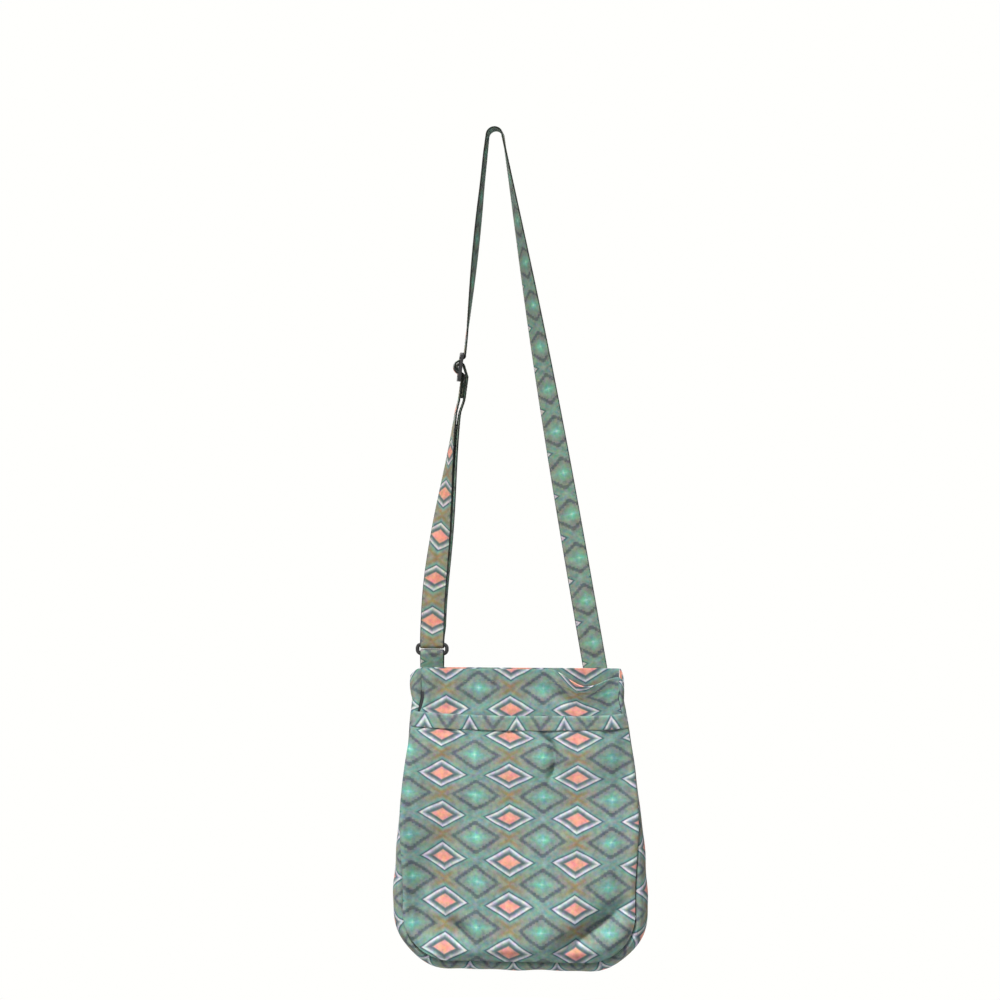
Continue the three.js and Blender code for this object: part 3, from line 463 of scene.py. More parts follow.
def gusset_grid(top, inset, tuck, columns=25):
    """The strip's points, and for each its length along the seam and across the strip."""
    x, drop = seam_path(top)
    step = np.gradient(np.stack([x, -drop], -1), axis=0)
    out = np.stack([step[:, 1], -step[:, 0]], -1) / np.linalg.norm(step, axis=1, keepdims=True)
    length = np.concatenate([[0], np.cumsum(np.hypot(np.diff(x), np.diff(drop)))])
    turn = np.linspace(0, np.pi, columns)[None, :]
    deep, bow = half_depth(drop)[:, None] - inset, gusset_bow(x, drop)[:, None] - inset
    waves = (tuck > 0) * RIPPLE * ripple(length, *RIPPLE_LENGTHS)[:, None]
    reach = GAP + bow * np.sin(turn) * (1 + waves)
    edge = tuck * np.exp(-((bow * np.sin(turn) / GUSSET_TUCK_REACH) ** 2))
    droop = GUSSET_DROOP * np.maximum(1 - drop / DROOP_REACH, 0)[:, None] * np.sin(turn) ** 2
    droop = droop + hang(np.maximum(x, 0), drop)[:, None] * (1 + np.cos(turn)) / 2
    across = x[:, None] + out[:, :1] * reach
    rise = -drop[:, None] + out[:, 1:] * reach - droop
    points = POUCH + np.stack([across, -(deep - edge) * np.cos(turn), rise], -1)
    girth = np.cumsum(np.linalg.norm(np.diff(points, axis=1, prepend=points[:, :1]), axis=2), axis=1)
    return points, length[:, None] + 0 * turn, girth


points, length, girth = gusset_grid(top=0, inset=0, tuck=GUSSET_TUCK)
gusset_zero = length[:, 0].max() / 2 + GUSSET_MOTIF_X
gusset_uv = np.stack([MOTIF_TIP + girth, length - gusset_zero], -1)
gusset = thicken(surface("gusset_cloth", points, gusset_uv), CLOTH, rounding=0.5)
print("gusset path", round(length.max()), "mm")

# %% [markdown]
# ## Pocket band
# A narrow strip is folded over the pocket's top edge and sewn down, front and back. Its section is an
# upturned U with a round top, carried along the pocket's edge by the pocket's own formula, so that the
# band follows every crease of the cloth inside it.

# %% Pocket band
BAND_MOTIF_X, BAND_STRETCH = -1.1, 1.045  # where its print starts, and how far its cloth is stretched
BAND_ROWS = 181
BAND_HEM, FOLD_SHARE = 0.25, 0.75  # gap under its lower edges, and height of its fold to its radius
BULGE, BULGE_LENGTHS = 0.7, (6.3, 23.0)  # of its lower edge between the stitches


def band_section(steps=7, fold_steps=13):
    """Down the outside, over the top in a half circle and down the inside: offset and rise."""
    radius = CLOTH / 2 + BAND_CLOTH
    turn = np.linspace(np.pi, 0, fold_steps)
    down = np.linspace(-BAND_HEIGHT, 0, steps)[:-1]
    side = np.linspace(CLOTH / 2 + BAND_HEM, radius, steps)[:-1]
    out = np.concatenate([side, -radius * np.cos(turn), -side[::-1]])
    rise = np.concatenate([down, FOLD_SHARE * radius * np.sin(turn), down[::-1]])
    return -np.abs(out) * np.sign(np.linspace(1, -1, out.size)), rise


offset, rise = band_section()
share = crowded(BAND_ROWS)[:, None]
drop = POCKET_DROP - np.minimum(rise, 0)[None, :] + 0 * share
x = share * half_width(drop)
bulge = BULGE * ripple(x, *BULGE_LENGTHS) * smooth(-rise, 0, BAND_HEIGHT)[None, :]
points = on_pocket(x, drop, CLOTH / 2 + offset[None, :] + bulge)
points[..., 2] += np.maximum(rise, 0)[None, :]
section_step = np.hypot(np.diff(offset, prepend=offset[0]), np.diff(rise, prepend=rise[0]))
band_length = np.cumsum(section_step)
band_v = (x - BAND_MOTIF_X) / BAND_STRETCH
band_uv = np.stack([MOTIF_TIP + BAND_HEIGHT - band_length + 0 * x, band_v], -1)
band = thicken(surface("pocket_band_cloth", points, band_uv), BAND_CLOTH, rounding=0.3)
print("band", len(band.data.polygons), "faces")

# %% [markdown]
# ## Lining
# The lining is a smaller pouch of plain dark cloth inside the first. It shows only through the open
# end of the mouth, and follows the same formulas with a deeper inset.

# %% Lining
LINING_CLOTH, LINING_DROP, LINING_INSET = 0.9, 24.0, 2.6

x, drop = panel_grid(LINING_DROP, side_rows=60, corner_rows=12, columns=61)
cloth_uv = np.stack([x, drop], -1)
front_inset = LINING_INSET + upper_hollow(x, drop)
lining_front = surface("lining_front_cloth", on_front(x, drop, front_inset), cloth_uv, flip=True)
back_inset = LINING_INSET + back_hollow(x, drop)
lining_back = surface("lining_back_cloth", on_back(x, drop, back_inset), cloth_uv)
points, length, girth = gusset_grid(LINING_DROP, LINING_INSET, tuck=0.0, columns=13)
lining_gusset = surface("lining_gusset_cloth", points, np.stack([girth, length], -1))
for sheet in (lining_front, lining_back, lining_gusset):
    thicken(sheet, LINING_CLOTH, rounding=0.2)
print("lining from", LINING_DROP, "mm under the mouth")

# %% [markdown]
# ## Zip
# A moulded zip lies just inside the mouth, closed from the left as far as its slider. Each half is a
# woven tape, a cord and a row of teeth. The teeth are one rounded block, repeated along the cord. An
# array modifier could repeat it, but here the two rows also part at the slider.

# %% Zip tapes and rows of teeth
SLIDER_X, SLIDER_LENGTH, CHAIN_SPREAD = 24.0, 13.0, 1.9
ZIP_LEFT, ZIP_DROP, STOP_LENGTH = -97.5, 18.0, 3.0
CHAIN_BACK, CHAIN_EDGE, CHAIN_HEIGHT = 1.3, 2.5, 2.2
TOOTH_LENGTH, TOOTH_WIDTH, TOOTH_PITCH = 2.2, 1.5, 4.0
TOOTH_ROOT, TOOTH_SHARE = 0.6, 0.85  # how far a tooth goes into its cord, and its share of the height
CORD_WIDE, CORD_TALL = 0.58, 1.05  # half sizes
TAPE_CLOTH, TAPE_FALL, TAPE_WALL, TAPE_BEND = 0.8, 5.0, 7.7, 1.0
MERGE = 1e-6  # metres; points nearer than this become one
ZIP_PLACES, TAPE_STEPS, FALL_STEPS, CORD_STEPS = 161, 5, 4, 12
CORD_START = 4  # places in from the tape's ends

stations = np.linspace(ZIP_LEFT, -ZIP_LEFT, ZIP_PLACES)[:, None]


def spread(x):
    """How far the slider has moved each row aside."""
    return CHAIN_SPREAD * smooth(x, SLIDER_X - SLIDER_LENGTH / 3, SLIDER_X + SLIDER_LENGTH / 2)


def on_zip(side, x, across, rise):
    """A place on one half of the zip; the front half goes with the gaping front."""
    drop = ZIP_DROP - rise
    lean = gape(x, drop) if side < 0 else 0 * x * drop
    places = np.broadcast_arrays(x, side * across - GAPE * lean, -drop - SAG * lean)
    return POUCH + np.stack(places, -1)


def rounded_block(length, width, height, rows=7, columns=12, power=0.35):
    """A superellipsoid: sines and cosines drawn towards the corners by a small power."""
    up = np.linspace(-np.pi / 2, np.pi / 2, rows)[:, None]
    turn = np.linspace(0, 2 * np.pi, columns, endpoint=False)[None, :]
    bend = lambda wave: np.sign(wave) * np.abs(wave) ** power
    level = bend(np.cos(up))
    x, y = length * level * bend(np.cos(turn)), width * level * bend(np.sin(turn))
    return np.stack([x, y, height * bend(np.sin(up)) + 0 * turn], -1) / 2


def copies(name, blocks):
    """Many closed grids of one shape, copies by rows by columns, in one mesh."""
    faces, _ = squares(*blocks.shape[1:3], round_columns=True)
    numbers = faces[None] + (np.arange(len(blocks)) * blocks[0, ..., 0].size)[:, None, None]
    return weld(mesh_object(name, blocks.reshape(-1, 3), numbers.reshape(-1, 4)), MERGE)


def zip_tape(name, side):
    """A tape: level beside the teeth, then round a bend of a quarter circle and down the wall."""
    corner = np.linspace(0, np.pi / 2, TAPE_STEPS)
    level = np.linspace(CHAIN_EDGE + GAP, TAPE_WALL - TAPE_BEND, TAPE_STEPS)[:-1]
    fall = np.linspace(-TAPE_BEND, -TAPE_FALL, FALL_STEPS)[1:]
    bent = TAPE_WALL - TAPE_BEND + TAPE_BEND * np.sin(corner)
    across = np.concatenate([level, bent, np.full(fall.shape, TAPE_WALL)])
    rise = np.concatenate([0 * level, TAPE_BEND * (np.cos(corner) - 1), fall]) + TAPE_CLOTH / 2
    moved = across + spread(stations) * np.linspace(1, 0, across.size) ** 0.5
    if side < 0:
        moved = moved - upper_hollow(stations, ZIP_DROP + 0 * stations) * np.linspace(0, 1, across.size)
    uv = np.stack([stations + 0 * across, rise + 0 * moved], -1)
    tape = surface(name, on_zip(side, stations, moved, rise), uv, flip=side > 0)
    return thicken(tape, TAPE_CLOTH, rounding=0.2)


def zip_cord(name, side):
    """The cord beside the teeth: an ellipse carried along the row from stop to stop."""
    turn = np.linspace(0, 2 * np.pi, CORD_STEPS, endpoint=False)
    run_x = stations[CORD_START:-CORD_START]
    middle = (CHAIN_BACK + CHAIN_EDGE) / 2 + spread(run_x)
    bead = on_zip(side, run_x, middle + CORD_WIDE * np.cos(turn), CORD_TALL * np.sin(turn))
    return surface(name, bead, flip=side > 0, round_columns=True)


def zip_teeth(name, side):
    """A row of rounded blocks; the back row starts half a pitch later, so that the two mesh."""
    last = -ZIP_LEFT - STOP_LENGTH - GAP - TOOTH_WIDTH
    tooth_x = np.arange(-last + (side > 0) * TOOTH_PITCH / 2, last, TOOTH_PITCH)
    middle = CHAIN_BACK - TOOTH_LENGTH / 2 + TOOTH_ROOT / 2
    places = on_zip(side, tooth_x, middle + spread(tooth_x), 0 * tooth_x)
    tooth = rounded_block(TOOTH_WIDTH, TOOTH_LENGTH + TOOTH_ROOT, TOOTH_SHARE * CHAIN_HEIGHT)
    print("teeth in a row", len(tooth_x))
    return copies(name, tooth + places[:, None, None])


zip_halves = {}
for side, half in ((-1, "front"), (1, "back")):
    tape = zip_tape(f"zip_tape_{half}_cloth", side)
    cord = zip_cord(f"zip_cord_{half}", side)
    zip_halves[half] = (tape, cord, zip_teeth(f"zip_teeth_{half}", side))

# %% [markdown]
# ## Cast and moulded fittings
# The slider, its pull, the zip's stops and the adjuster already have their true shapes as solids.
# What they lack is the soft edge that a mould leaves. They could be drawn again, but a merged copy of
# each solid with a bevel keeps its shape exactly.

# %% Slider, pull, stops and adjuster
FLAT_ANGLE, EDGE_ANGLE = np.radians(1), np.radians(25)  # joined below the first, bevelled above the second
STOPS = ("zip_end_stop", "zip_top_stop_front", "zip_top_stop_back")


def softened(node, width, segments=2):
    """A copy of a solid with its points merged, its flat faces joined and its edges bevelled."""
    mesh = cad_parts[node].data.copy()
    work = bmesh.new()
    work.from_mesh(mesh)
    bmesh.ops.remove_doubles(work, verts=work.verts, dist=MERGE)
    bmesh.ops.dissolve_limit(work, angle_limit=FLAT_ANGLE, verts=work.verts, edges=work.edges)
    work.to_mesh(mesh)
    work.free()
    mesh.materials.clear()
    mesh.shade_smooth()
    obj = bpy.data.objects.new(node + "_soft", mesh)
    bpy.context.scene.collection.objects.link(obj)
    bevel = obj.modifiers.new("edges", "BEVEL")
    bevel.width, bevel.segments, bevel.harden_normals = width * MM, segments, True
    bevel.limit_method, bevel.angle_limit = "ANGLE", EDGE_ANGLE
    return obj


zip_stops = {node: softened(node, width=0.3) for node in STOPS}
slider = softened("zip_slider", width=0.25)
pull = softened("zip_pull", width=0.35, segments=3)
adjuster = softened("adjuster", width=0.9, segments=3)
print("softened fittings", len(zip_stops) + 3)

# %% [markdown]
# ## Ring
# The ring is a round bar bent to a rectangle: a circle carried round a path with four quarter turns.
# A bevelled curve could do it too; as a grid it closes on itself in both directions.

# %% Ring
RING_BAR, RING_INSIDE, RING_SPACING, RING_RISE, RING_CORNER = 4.0, 27.0, 9.6, 14.0, 4.0
STRAP_DROP, STRAP_WIDTH, STRAP_THICK = 560.0, 25.0, 2.2
RING_X, STRAP_END_X = -67.5, 103.5
CORNER_STEPS, BAR_STEPS = 13, 24  # points round each corner of the ring, and round its bar


def back_seat(place, drop):
    """The middle of a strap that lies on the back of the pouch, clear of it right across."""
    sides = place[..., None] - POUCH[0] + np.array([-0.5, 0, 0.5]) * STRAP_WIDTH
    lower = np.maximum(drop, 0)[..., None]
    faces = half_depth(lower) + BACK_BELLY * belly(sides, lower)
    return faces.max(-1) + GAP + STRAP_THICK / 2


TAB_NEAR = float(back_seat(np.array(RING_X), np.array(0.0)))
TAB_FAR = TAB_NEAR + STRAP_THICK + GAP
RING_Y = (TAB_NEAR + TAB_FAR) / 2
RING_LOW = RING_RISE - STRAP_DROP
RING_HIGH = RING_LOW + RING_SPACING
RING_LOOP = RING_BAR / 2 + GAP + STRAP_THICK / 2

wide, tall = (RING_INSIDE + RING_BAR) / 2 - RING_CORNER, RING_SPACING / 2 - RING_CORNER
angle = np.concatenate([np.linspace(q, q + 1, CORNER_STEPS) * np.pi / 2 for q in range(4)])
corner_x = np.repeat([wide, -wide, -wide, wide], CORNER_STEPS)
corner_z = np.repeat([tall, tall, -tall, -tall], CORNER_STEPS)
turn = np.linspace(0, 2 * np.pi, BAR_STEPS, endpoint=False)[None, :]
reach = RING_CORNER + RING_BAR / 2 * np.cos(turn)
bar = [
    RING_X + corner_x[:, None] + np.cos(angle)[:, None] * reach,
    RING_Y + RING_BAR / 2 * np.sin(turn) + 0 * angle[:, None],
    (RING_LOW + RING_HIGH) / 2 + corner_z[:, None] + np.sin(angle)[:, None] * reach,
]
ring = surface("ring_bar", np.stack(bar, -1), round_rows=True, round_columns=True)
print("ring at", round(RING_X), round(RING_Y, 1), round(RING_LOW))

# %% [markdown]
# ## Strap
# The strap is one long band. It is sewn to the back at the right, turns a quarter on its way up, goes
# over whatever carries it, comes down the left, through the adjuster, round the ring and back up to
# the adjuster's middle bar. A curve drawn by hand would cut into the bars. Here its line is a tight
# string round posts, which keeps clear of them, and its frame is three directions at each place.

# %% The strap's line
CARRIER_RADIUS, SEWN_LENGTH = 7.0, 30.0
ADJUSTER_PLACE, ADJUSTER_THICK, MIDDLE_BAR, SLOT, END_LAP = 242.0, 3.5, 3.0, 9.5, 32.0
LAYER_SHARE, LAYER_RUN = 0.4, 18.0  # the strap's two layers come together between the bars
TAIL_SHIFT = 1.8  # the rear layer hangs a little to the right there
LEG_TURN, LEG_TURN_RUN, LEG_BEND = np.radians(8.0), 60.0, 40.0
LOOSE_TURN = np.radians(-15.5)  # turned back half way down to the adjuster, where nothing holds it
LEAVE = 18.0  # down the left leg, where its flat route starts
ARC_STEP, RUN_STEP = np.radians(7.0), 5.0  # between places round a post, and on a straight run
LEG_PLACES, KNEE_PLACES, RIGHT_PLACES = 400, 200, 110


def heading(a, b):
    """The heading of a line that leaves one post and meets the next; posts are x, y, radius, turn."""
    gap_x, gap_y = b[0] - a[0], b[1] - a[1]
    aside = (b[3] * b[2] - a[3] * a[2]) / np.hypot(gap_x, gap_y)
    return np.arctan2(gap_y, gap_x) - np.arcsin(aside)


def around(post, start, end):
    """Places on a post from one heading to another: x, y and heading of each."""
    swept = post[3] * ((post[3] * (end - start)) % (2 * np.pi))
    angle = start + swept * np.linspace(0, 1, int(np.ceil(abs(swept) / ARC_STEP)) + 1)
    away = post[3] * post[2]
    return np.stack([post[0] + away * np.sin(angle), post[1] - away * np.cos(angle), angle], -1)


def run(a, b):
    """Places that divide a straight run, without its two ends."""
    count = int(np.ceil(np.hypot(*(b - a)[:2]) / RUN_STEP))
    places = a + (b - a) * np.linspace(0, 1, count + 1)[1:-1, None]
    places[:, 2] = b[2]
    return places


def belt(start, posts, end):
    """A tight line from a start, round each post, to an end."""
    stops = [(*start, 0, 1), *posts, (*end, 0, 1)]
    angles = [heading(a, b) for a, b in zip(stops, stops[1:])]
    ends = [np.array([[*start, angles[0]]]), np.array([[*end, angles[-1]]])]
    bends = [around(post, *angles[k : k + 2]) for k, post in enumerate(posts)]
    chain = [ends[0], *bends, ends[1]]
    runs = [run(a[-1], b[0]) for a, b in zip(chain, chain[1:])] + [np.zeros((0, 3))]
    return np.concatenate([part for pair in zip(chain, runs) for part in pair])


def unit(v):
    """Vectors brought to a length of 1."""
    return v / np.linalg.norm(v, axis=-1, keepdims=True)


carrier = (0.0, -CARRIER_RADIUS, CARRIER_RADIUS + STRAP_THICK / 2, 1)
leg_bend = (RING_X, RING_HIGH + LEG_BEND, 0, 1)
up_heading = heading((STRAP_END_X, -STRAP_DROP, 0, 1), carrier)
bend = around(carrier, up_heading, heading(carrier, leg_bend))

leg_top = np.array([bend[-1, 0], 0, bend[-1, 1]])
leg_knee = np.array([RING_X, RING_Y, leg_bend[1]])
leg_foot = np.array([RING_X, RING_Y, RING_HIGH])
knee_start = leg_knee + (leg_top - leg_knee) * LEG_BEND / np.linalg.norm(leg_knee - leg_top)
t = np.linspace(0, 1, KNEE_PLACES)[:, None]
curve = (1 - t) ** 2 * knee_start + 2 * t * (1 - t) * leg_knee + t**2 * leg_foot
straight = leg_top + (knee_start - leg_top) * np.linspace(0, 1, LEG_PLACES)[:-1, None]
leg_line = np.concatenate([straight, curve])
leg_steps = np.linalg.norm(np.diff(leg_line, axis=0), axis=1)
leg_lengths = np.concatenate([[0], np.cumsum(leg_steps)])
LEG_LENGTH = leg_lengths[-1]
leg_ways = unit(np.gradient(leg_line, leg_lengths, axis=0))
print("left leg", round(LEG_LENGTH, 1), "mm")


def leg_frame(length):
    """Place on the left leg, and its directions: along it, and out of the strap's face."""
    held = np.clip(length, 0, LEG_LENGTH)
    pick = lambda table: np.stack([np.interp(held, leg_lengths, table[:, k]) for k in range(3)], -1)
    place, along = pick(leg_line), unit(pick(leg_ways))
    loose = np.sin(np.pi * np.clip(length / (ADJUSTER_PLACE - END_LAP), 0, 1))
    upper = LEG_TURN * smooth(length, 0, LEG_TURN_RUN) + LOOSE_TURN * loose
    lower = smooth(length, ADJUSTER_PLACE + END_LAP, LEG_LENGTH - LEG_BEND / 2)
    turn = (upper + (np.pi / 2 - upper) * lower)[:, None]
    left = np.array([-1.0, 0, 0])
    left = unit(left - along * (along @ left)[:, None])
    front = np.cross(along, left)
    front *= -np.sign(front[:, 1:2])
    return place + along * (length - held)[:, None], along, left * np.cos(turn) + front * np.sin(turn)


def leg_route():
    """The strap through the adjuster, round the ring and back, laid flat: out of its face, and down."""
    layer, bar_half, corner = STRAP_THICK + GAP, ADJUSTER_THICK / 2, MIDDLE_BAR / 2 + SLOT
    close = GAP + STRAP_THICK / 2
    loop = np.hypot(MIDDLE_BAR / 2, bar_half) + close
    post = lambda y, r, turn: (-bar_half, ADJUSTER_PLACE + y, r, turn)
    lap = (END_LAP - corner) / (LEG_LENGTH - ADJUSTER_PLACE - corner)
    tip = ((-bar_half - close - layer) * (1 - lap), ADJUSTER_PLACE + END_LAP)
    posts = [
        post(-corner, close, -1),
        (0, ADJUSTER_PLACE, loop + layer, 1),
        post(corner, close, -1),
        (0, LEG_LENGTH, RING_LOOP, 1),
        post(corner, close + 2 * layer, 1),
        (0, ADJUSTER_PLACE, loop, 1),
        post(corner, close + layer, -1),
    ]
    return belt((0.0, LEAVE), posts, tip)


def between_bars(length):
    """1 on the run between the adjuster and the ring, 0 at both."""
    top, low = ADJUSTER_PLACE + END_LAP, LEG_LENGTH - RING_LOOP
    return smooth(length, top, top + LAYER_RUN) * (1 - smooth(length, low - LAYER_RUN, low))


# %% [markdown]
# ### The strap's frame
# The whole strap becomes four arrays: place, direction, face and length. Its pieces are then slices
# of the same arrays, so they meet without a step.

# %% The strap's frame
TOP_TWIST = 0.78  # 0 turns the right leg evenly on its way up, 1 mostly near the top
SEWN_STEPS = 8
rise = np.array([np.cos(up_heading), 0, np.sin(up_heading)])
right = unit(np.array([1.0, 0, 0]) - rise * rise[0])
back = np.array([0, 1.0, 0])
foot = np.array([STRAP_END_X, 0, -STRAP_DROP])

sewn = np.linspace(SEWN_LENGTH, 0, SEWN_STEPS)[:-1, None]
sewn_place = foot - rise * sewn
sewn_place[:, 1] = back_seat(sewn_place[:, 0], -STRAP_DROP - sewn_place[:, 2])
foot[1] = back_seat(foot[:1], np.zeros(1))[0]
leg_end = np.array([bend[0, 0], 0, bend[0, 1]])
t = np.linspace(0, 1, RIGHT_PLACES)[:-1, None]
late = np.sin(np.pi / 2 * (1 - t))
quarter = np.pi / 2 * (1 - t + (late - 1 + t) * TOP_TWIST)
bend_way = np.stack([np.cos(bend[:, 2]), 0 * bend[:, 2], np.sin(bend[:, 2])], -1)
bend_face = np.stack([np.sin(bend[:, 2]), 0 * bend[:, 2], -np.cos(bend[:, 2])], -1)
route = leg_route()
place, along, out = leg_frame(route[:, 1])
apart = between_bars(route[:, 1])[:, None]
route_place = place + out * route[:, :1] * (1 + (LAYER_SHARE - 1) * apart)
on_tail = np.arange(len(route)) > np.argmax(route[:, 1])
route_place[:, :1] += TAIL_SHIFT * apart * on_tail[:, None]
across, down = np.cos(route[:, 2:]), np.sin(route[:, 2:])
bend_place = np.stack([bend[:, 0], 0 * bend[:, 0], bend[:, 1]], -1)
leg_face = right * np.cos(quarter) + back * np.sin(quarter)
strap_place = np.concatenate([sewn_place, foot + (leg_end - foot) * t, bend_place, route_place])
strap_way = np.concatenate([0 * sewn + rise, 0 * t + rise, bend_way, out * across + along * down])
strap_face = np.concatenate([0 * sewn + back, leg_face, bend_face, out * down - along * across])
strap_length = np.concatenate([[0], np.cumsum(np.linalg.norm(np.diff(strap_place, axis=0), axis=1))])
left_start = len(strap_place) - len(route)
print("strap", round(strap_length[-1]), "mm long")

# %% [markdown]
# ### Bands of strap
# The real strap is two layers sewn together along both edges. A flat sheet with a thickness would have
# square edges, so its section is worked out: round at the edges and thinner along the stitches. Each
# face has its own cut of the print, and an attribute says how near a point is to an edge, which the
# cotton's finish reads.

# %% Bands of strap
FACE_COLUMNS = 15
A_PHASE, B_PHASE, B_SIDE = 23.4, -8.8, -3.0  # start of the print on each face, and the second's shift aside
STITCH_INSET, GROOVE, GROOVE_REACH = 2.6, 0.28, 0.9
EDGE_POWER = 12  # the higher, the squarer the strap's edges
STRAP_TINT = 0.2  # the least value of the edge attribute; cloth without the attribute reads 0
SHARP_EDGE = np.radians(60)
LOOP_HEIGHT = 34.0  # of the loop round the ring


def strap_piece(name, rows, place=strap_place, way=strap_way, face=strap_face, length=strap_length):
    """A band with round edges along a slice of the strap: two faces, each with its own cloth
    coordinate, thinner along its stitches, and closed at both ends."""
    place, way, face, length = (table[rows] for table in (place, way, face, length))
    side = np.cross(way, face)
    share = np.sin(np.linspace(-1, 1, FACE_COLUMNS) * np.pi / 2)
    w = STRAP_WIDTH / 2 * share
    thick = STRAP_THICK / 2 * (1 - share**EDGE_POWER) ** 0.5
    from_stitch = STRAP_WIDTH / 2 - np.abs(w) - STITCH_INSET
    thick -= GROOVE * np.exp(-((from_stitch / GROOVE_REACH) ** 2))
    thick = np.maximum(thick, 0)
    w, h = np.concatenate([w, w[::-1]]), np.concatenate([thick, -thick[::-1]])
    points = place[:, None] + side[:, None] * w[None, :, None] + face[:, None] * h[None, :, None]
    ends = [place[k, None] + side[k, None] * w[:, None] for k in (0, -1)]
    points = np.concatenate([ends[:1], points, ends[1:]])
    length = np.concatenate([length[:1], length, length[-1:]])[:, None]
    front = np.stack(np.broadcast_arrays(w[:FACE_COLUMNS], length - A_PHASE), -1)
    rear_w = w[FACE_COLUMNS:] + LATTICE_WIDTH / 2 - B_SIDE
    rear = np.stack(np.broadcast_arrays(rear_w, length - B_PHASE), -1)
    uv = np.concatenate([front, rear, front[:, :1]], 1)
    band = surface(name, points, uv, round_columns=True)
    nearness = np.maximum(np.abs(w) / STRAP_WIDTH * 2, STRAP_TINT)
    edge = band.data.attributes.new("edge", "FLOAT", "POINT")
    edge.data.foreach_set("value", np.tile(nearness, len(points)).astype(np.float32))
    weld(band)
    band.data.set_sharp_from_angle(angle=SHARP_EDGE)
    return band


def row_at(y, nth=0):
    """The first row after the nth crossing where the flat route passes a length down the leg."""
    passes = np.flatnonzero(np.diff(np.sign(route[:, 1] - y)))
    return left_start + passes[nth] + 1


over_bar = row_at(ADJUSTER_PLACE)
LOOP_TOP = LEG_LENGTH - LOOP_HEIGHT
loop_in, loop_out = row_at(LOOP_TOP), row_at(LOOP_TOP, 1)
strap_cuts = {
    "right_leg": slice(0, left_start + 1),
    "left_upper": slice(left_start, over_bar + 1),
    "left_lower": slice(over_bar, loop_in + 1),
    "ring_loop": slice(loop_in, loop_out + 1),
    "left_tail": slice(loop_out, None),
}
straps = {name: strap_piece(f"strap_{name}", rows) for name, rows in strap_cuts.items()}
print({name: len(piece.data.polygons) for name, piece in straps.items()})

# %% [markdown]
# ## Tab
# A short length of the same strap is folded round the ring's lower bar, and both its ends are sewn to
# the back of the pouch. It is made by the strap's own function, along another tight line.

# %% Tab
tab_bar = (RING_Y, RING_LOW, RING_LOOP, -1)
fold = belt((TAB_NEAR, -STRAP_DROP), [tab_bar], (TAB_FAR, -STRAP_DROP))
down = np.linspace(SEWN_LENGTH, 0, SEWN_STEPS)[:-1]
seat = back_seat(np.full(down.shape, RING_X), down)
near = np.stack([seat, -STRAP_DROP - down, np.full(down.shape, np.pi / 2)], -1)
far = np.stack([seat + TAB_FAR - TAB_NEAR, -STRAP_DROP - down, np.full(down.shape, -np.pi / 2)], -1)
tab_route = np.concatenate([near, fold, far[::-1]])
level = 0 * tab_route[:, 0]
tab_place = np.stack([level + RING_X, tab_route[:, 0], tab_route[:, 1]], -1)
tab_way = np.stack([level, np.cos(tab_route[:, 2]), np.sin(tab_route[:, 2])], -1)
tab_face = np.stack([level, np.sin(tab_route[:, 2]), -np.cos(tab_route[:, 2])], -1)
tab_length = np.concatenate([[0], np.cumsum(np.linalg.norm(np.diff(tab_place, axis=0), axis=1))])
tab = strap_piece("strap_tab_cloth", slice(None), tab_place, tab_way, tab_face, tab_length)
print("tab", round(tab_length[-1]), "mm")

# %% [markdown]
# ## Stitches
# A row of stitches could be a bump in the finish, but thread stands on the cloth and catches light. So
# it is one small rounded block, repeated along a path and turned to follow it. The thread is drawn a
# little thicker than it is, 0.5 mm, so that it shows.

# %% Stitches
STITCH_PITCH, STITCH_LENGTH, THREAD = 3.6, 2.5, 0.5
THREAD_ROWS, THREAD_COLUMNS, THREAD_ROUNDING = 5, 6, 0.7
STRAP_SINK, BAND_LIFT = 0.2, 0.35  # of the thread's middle, into the strap and off the band
HEM_DROP, HEM_HALF, BAND_HALF = 13.0, 99.0, 106.0
BAND_SEAM = 2.0  # up from the band's lower edge
SEAM_PLACES = 200


def stitches(name, path, face):
    """Rounded blocks along a path, each lying along it and flat on the cloth."""
    lengths = np.concatenate([[0], np.cumsum(np.linalg.norm(np.diff(path, axis=0), axis=1))])
    at = np.arange(STITCH_PITCH, lengths[-1] - STITCH_PITCH / 2, STITCH_PITCH)
    pick = lambda table: np.stack([np.interp(at, lengths, table[:, k]) for k in range(3)], -1)
    place, out = pick(path), unit(pick(face))
    way = unit(pick(np.gradient(path, axis=0)))
    side = np.cross(out, way)
    block = rounded_block(STITCH_LENGTH, THREAD, THREAD, THREAD_ROWS, THREAD_COLUMNS, THREAD_ROUNDING)
    turned = np.einsum("rck,nkj->nrcj", block, np.stack([way, side, out], 1))
    return copies(name, place[:, None, None] + turned)


def strap_stitches(name, rows, place=strap_place, way=strap_way, face=strap_face):
    """Two rows on each face of a slice of strap, near its edges, as one mesh."""
    place, way, face = place[rows], way[rows], face[rows]
    side = np.cross(way, face) * (STRAP_WIDTH / 2 - STITCH_INSET)
    lift = face * (STRAP_THICK / 2 - STRAP_SINK)
    rows = [stitches(name, place + k * side + m * lift, m * face) for k in (-1, 1) for m in (-1, 1)]
    with bpy.context.temp_override(active_object=rows[0], selected_editable_objects=rows):
        bpy.ops.object.join()
    rows[0].name = name
    return rows[0]


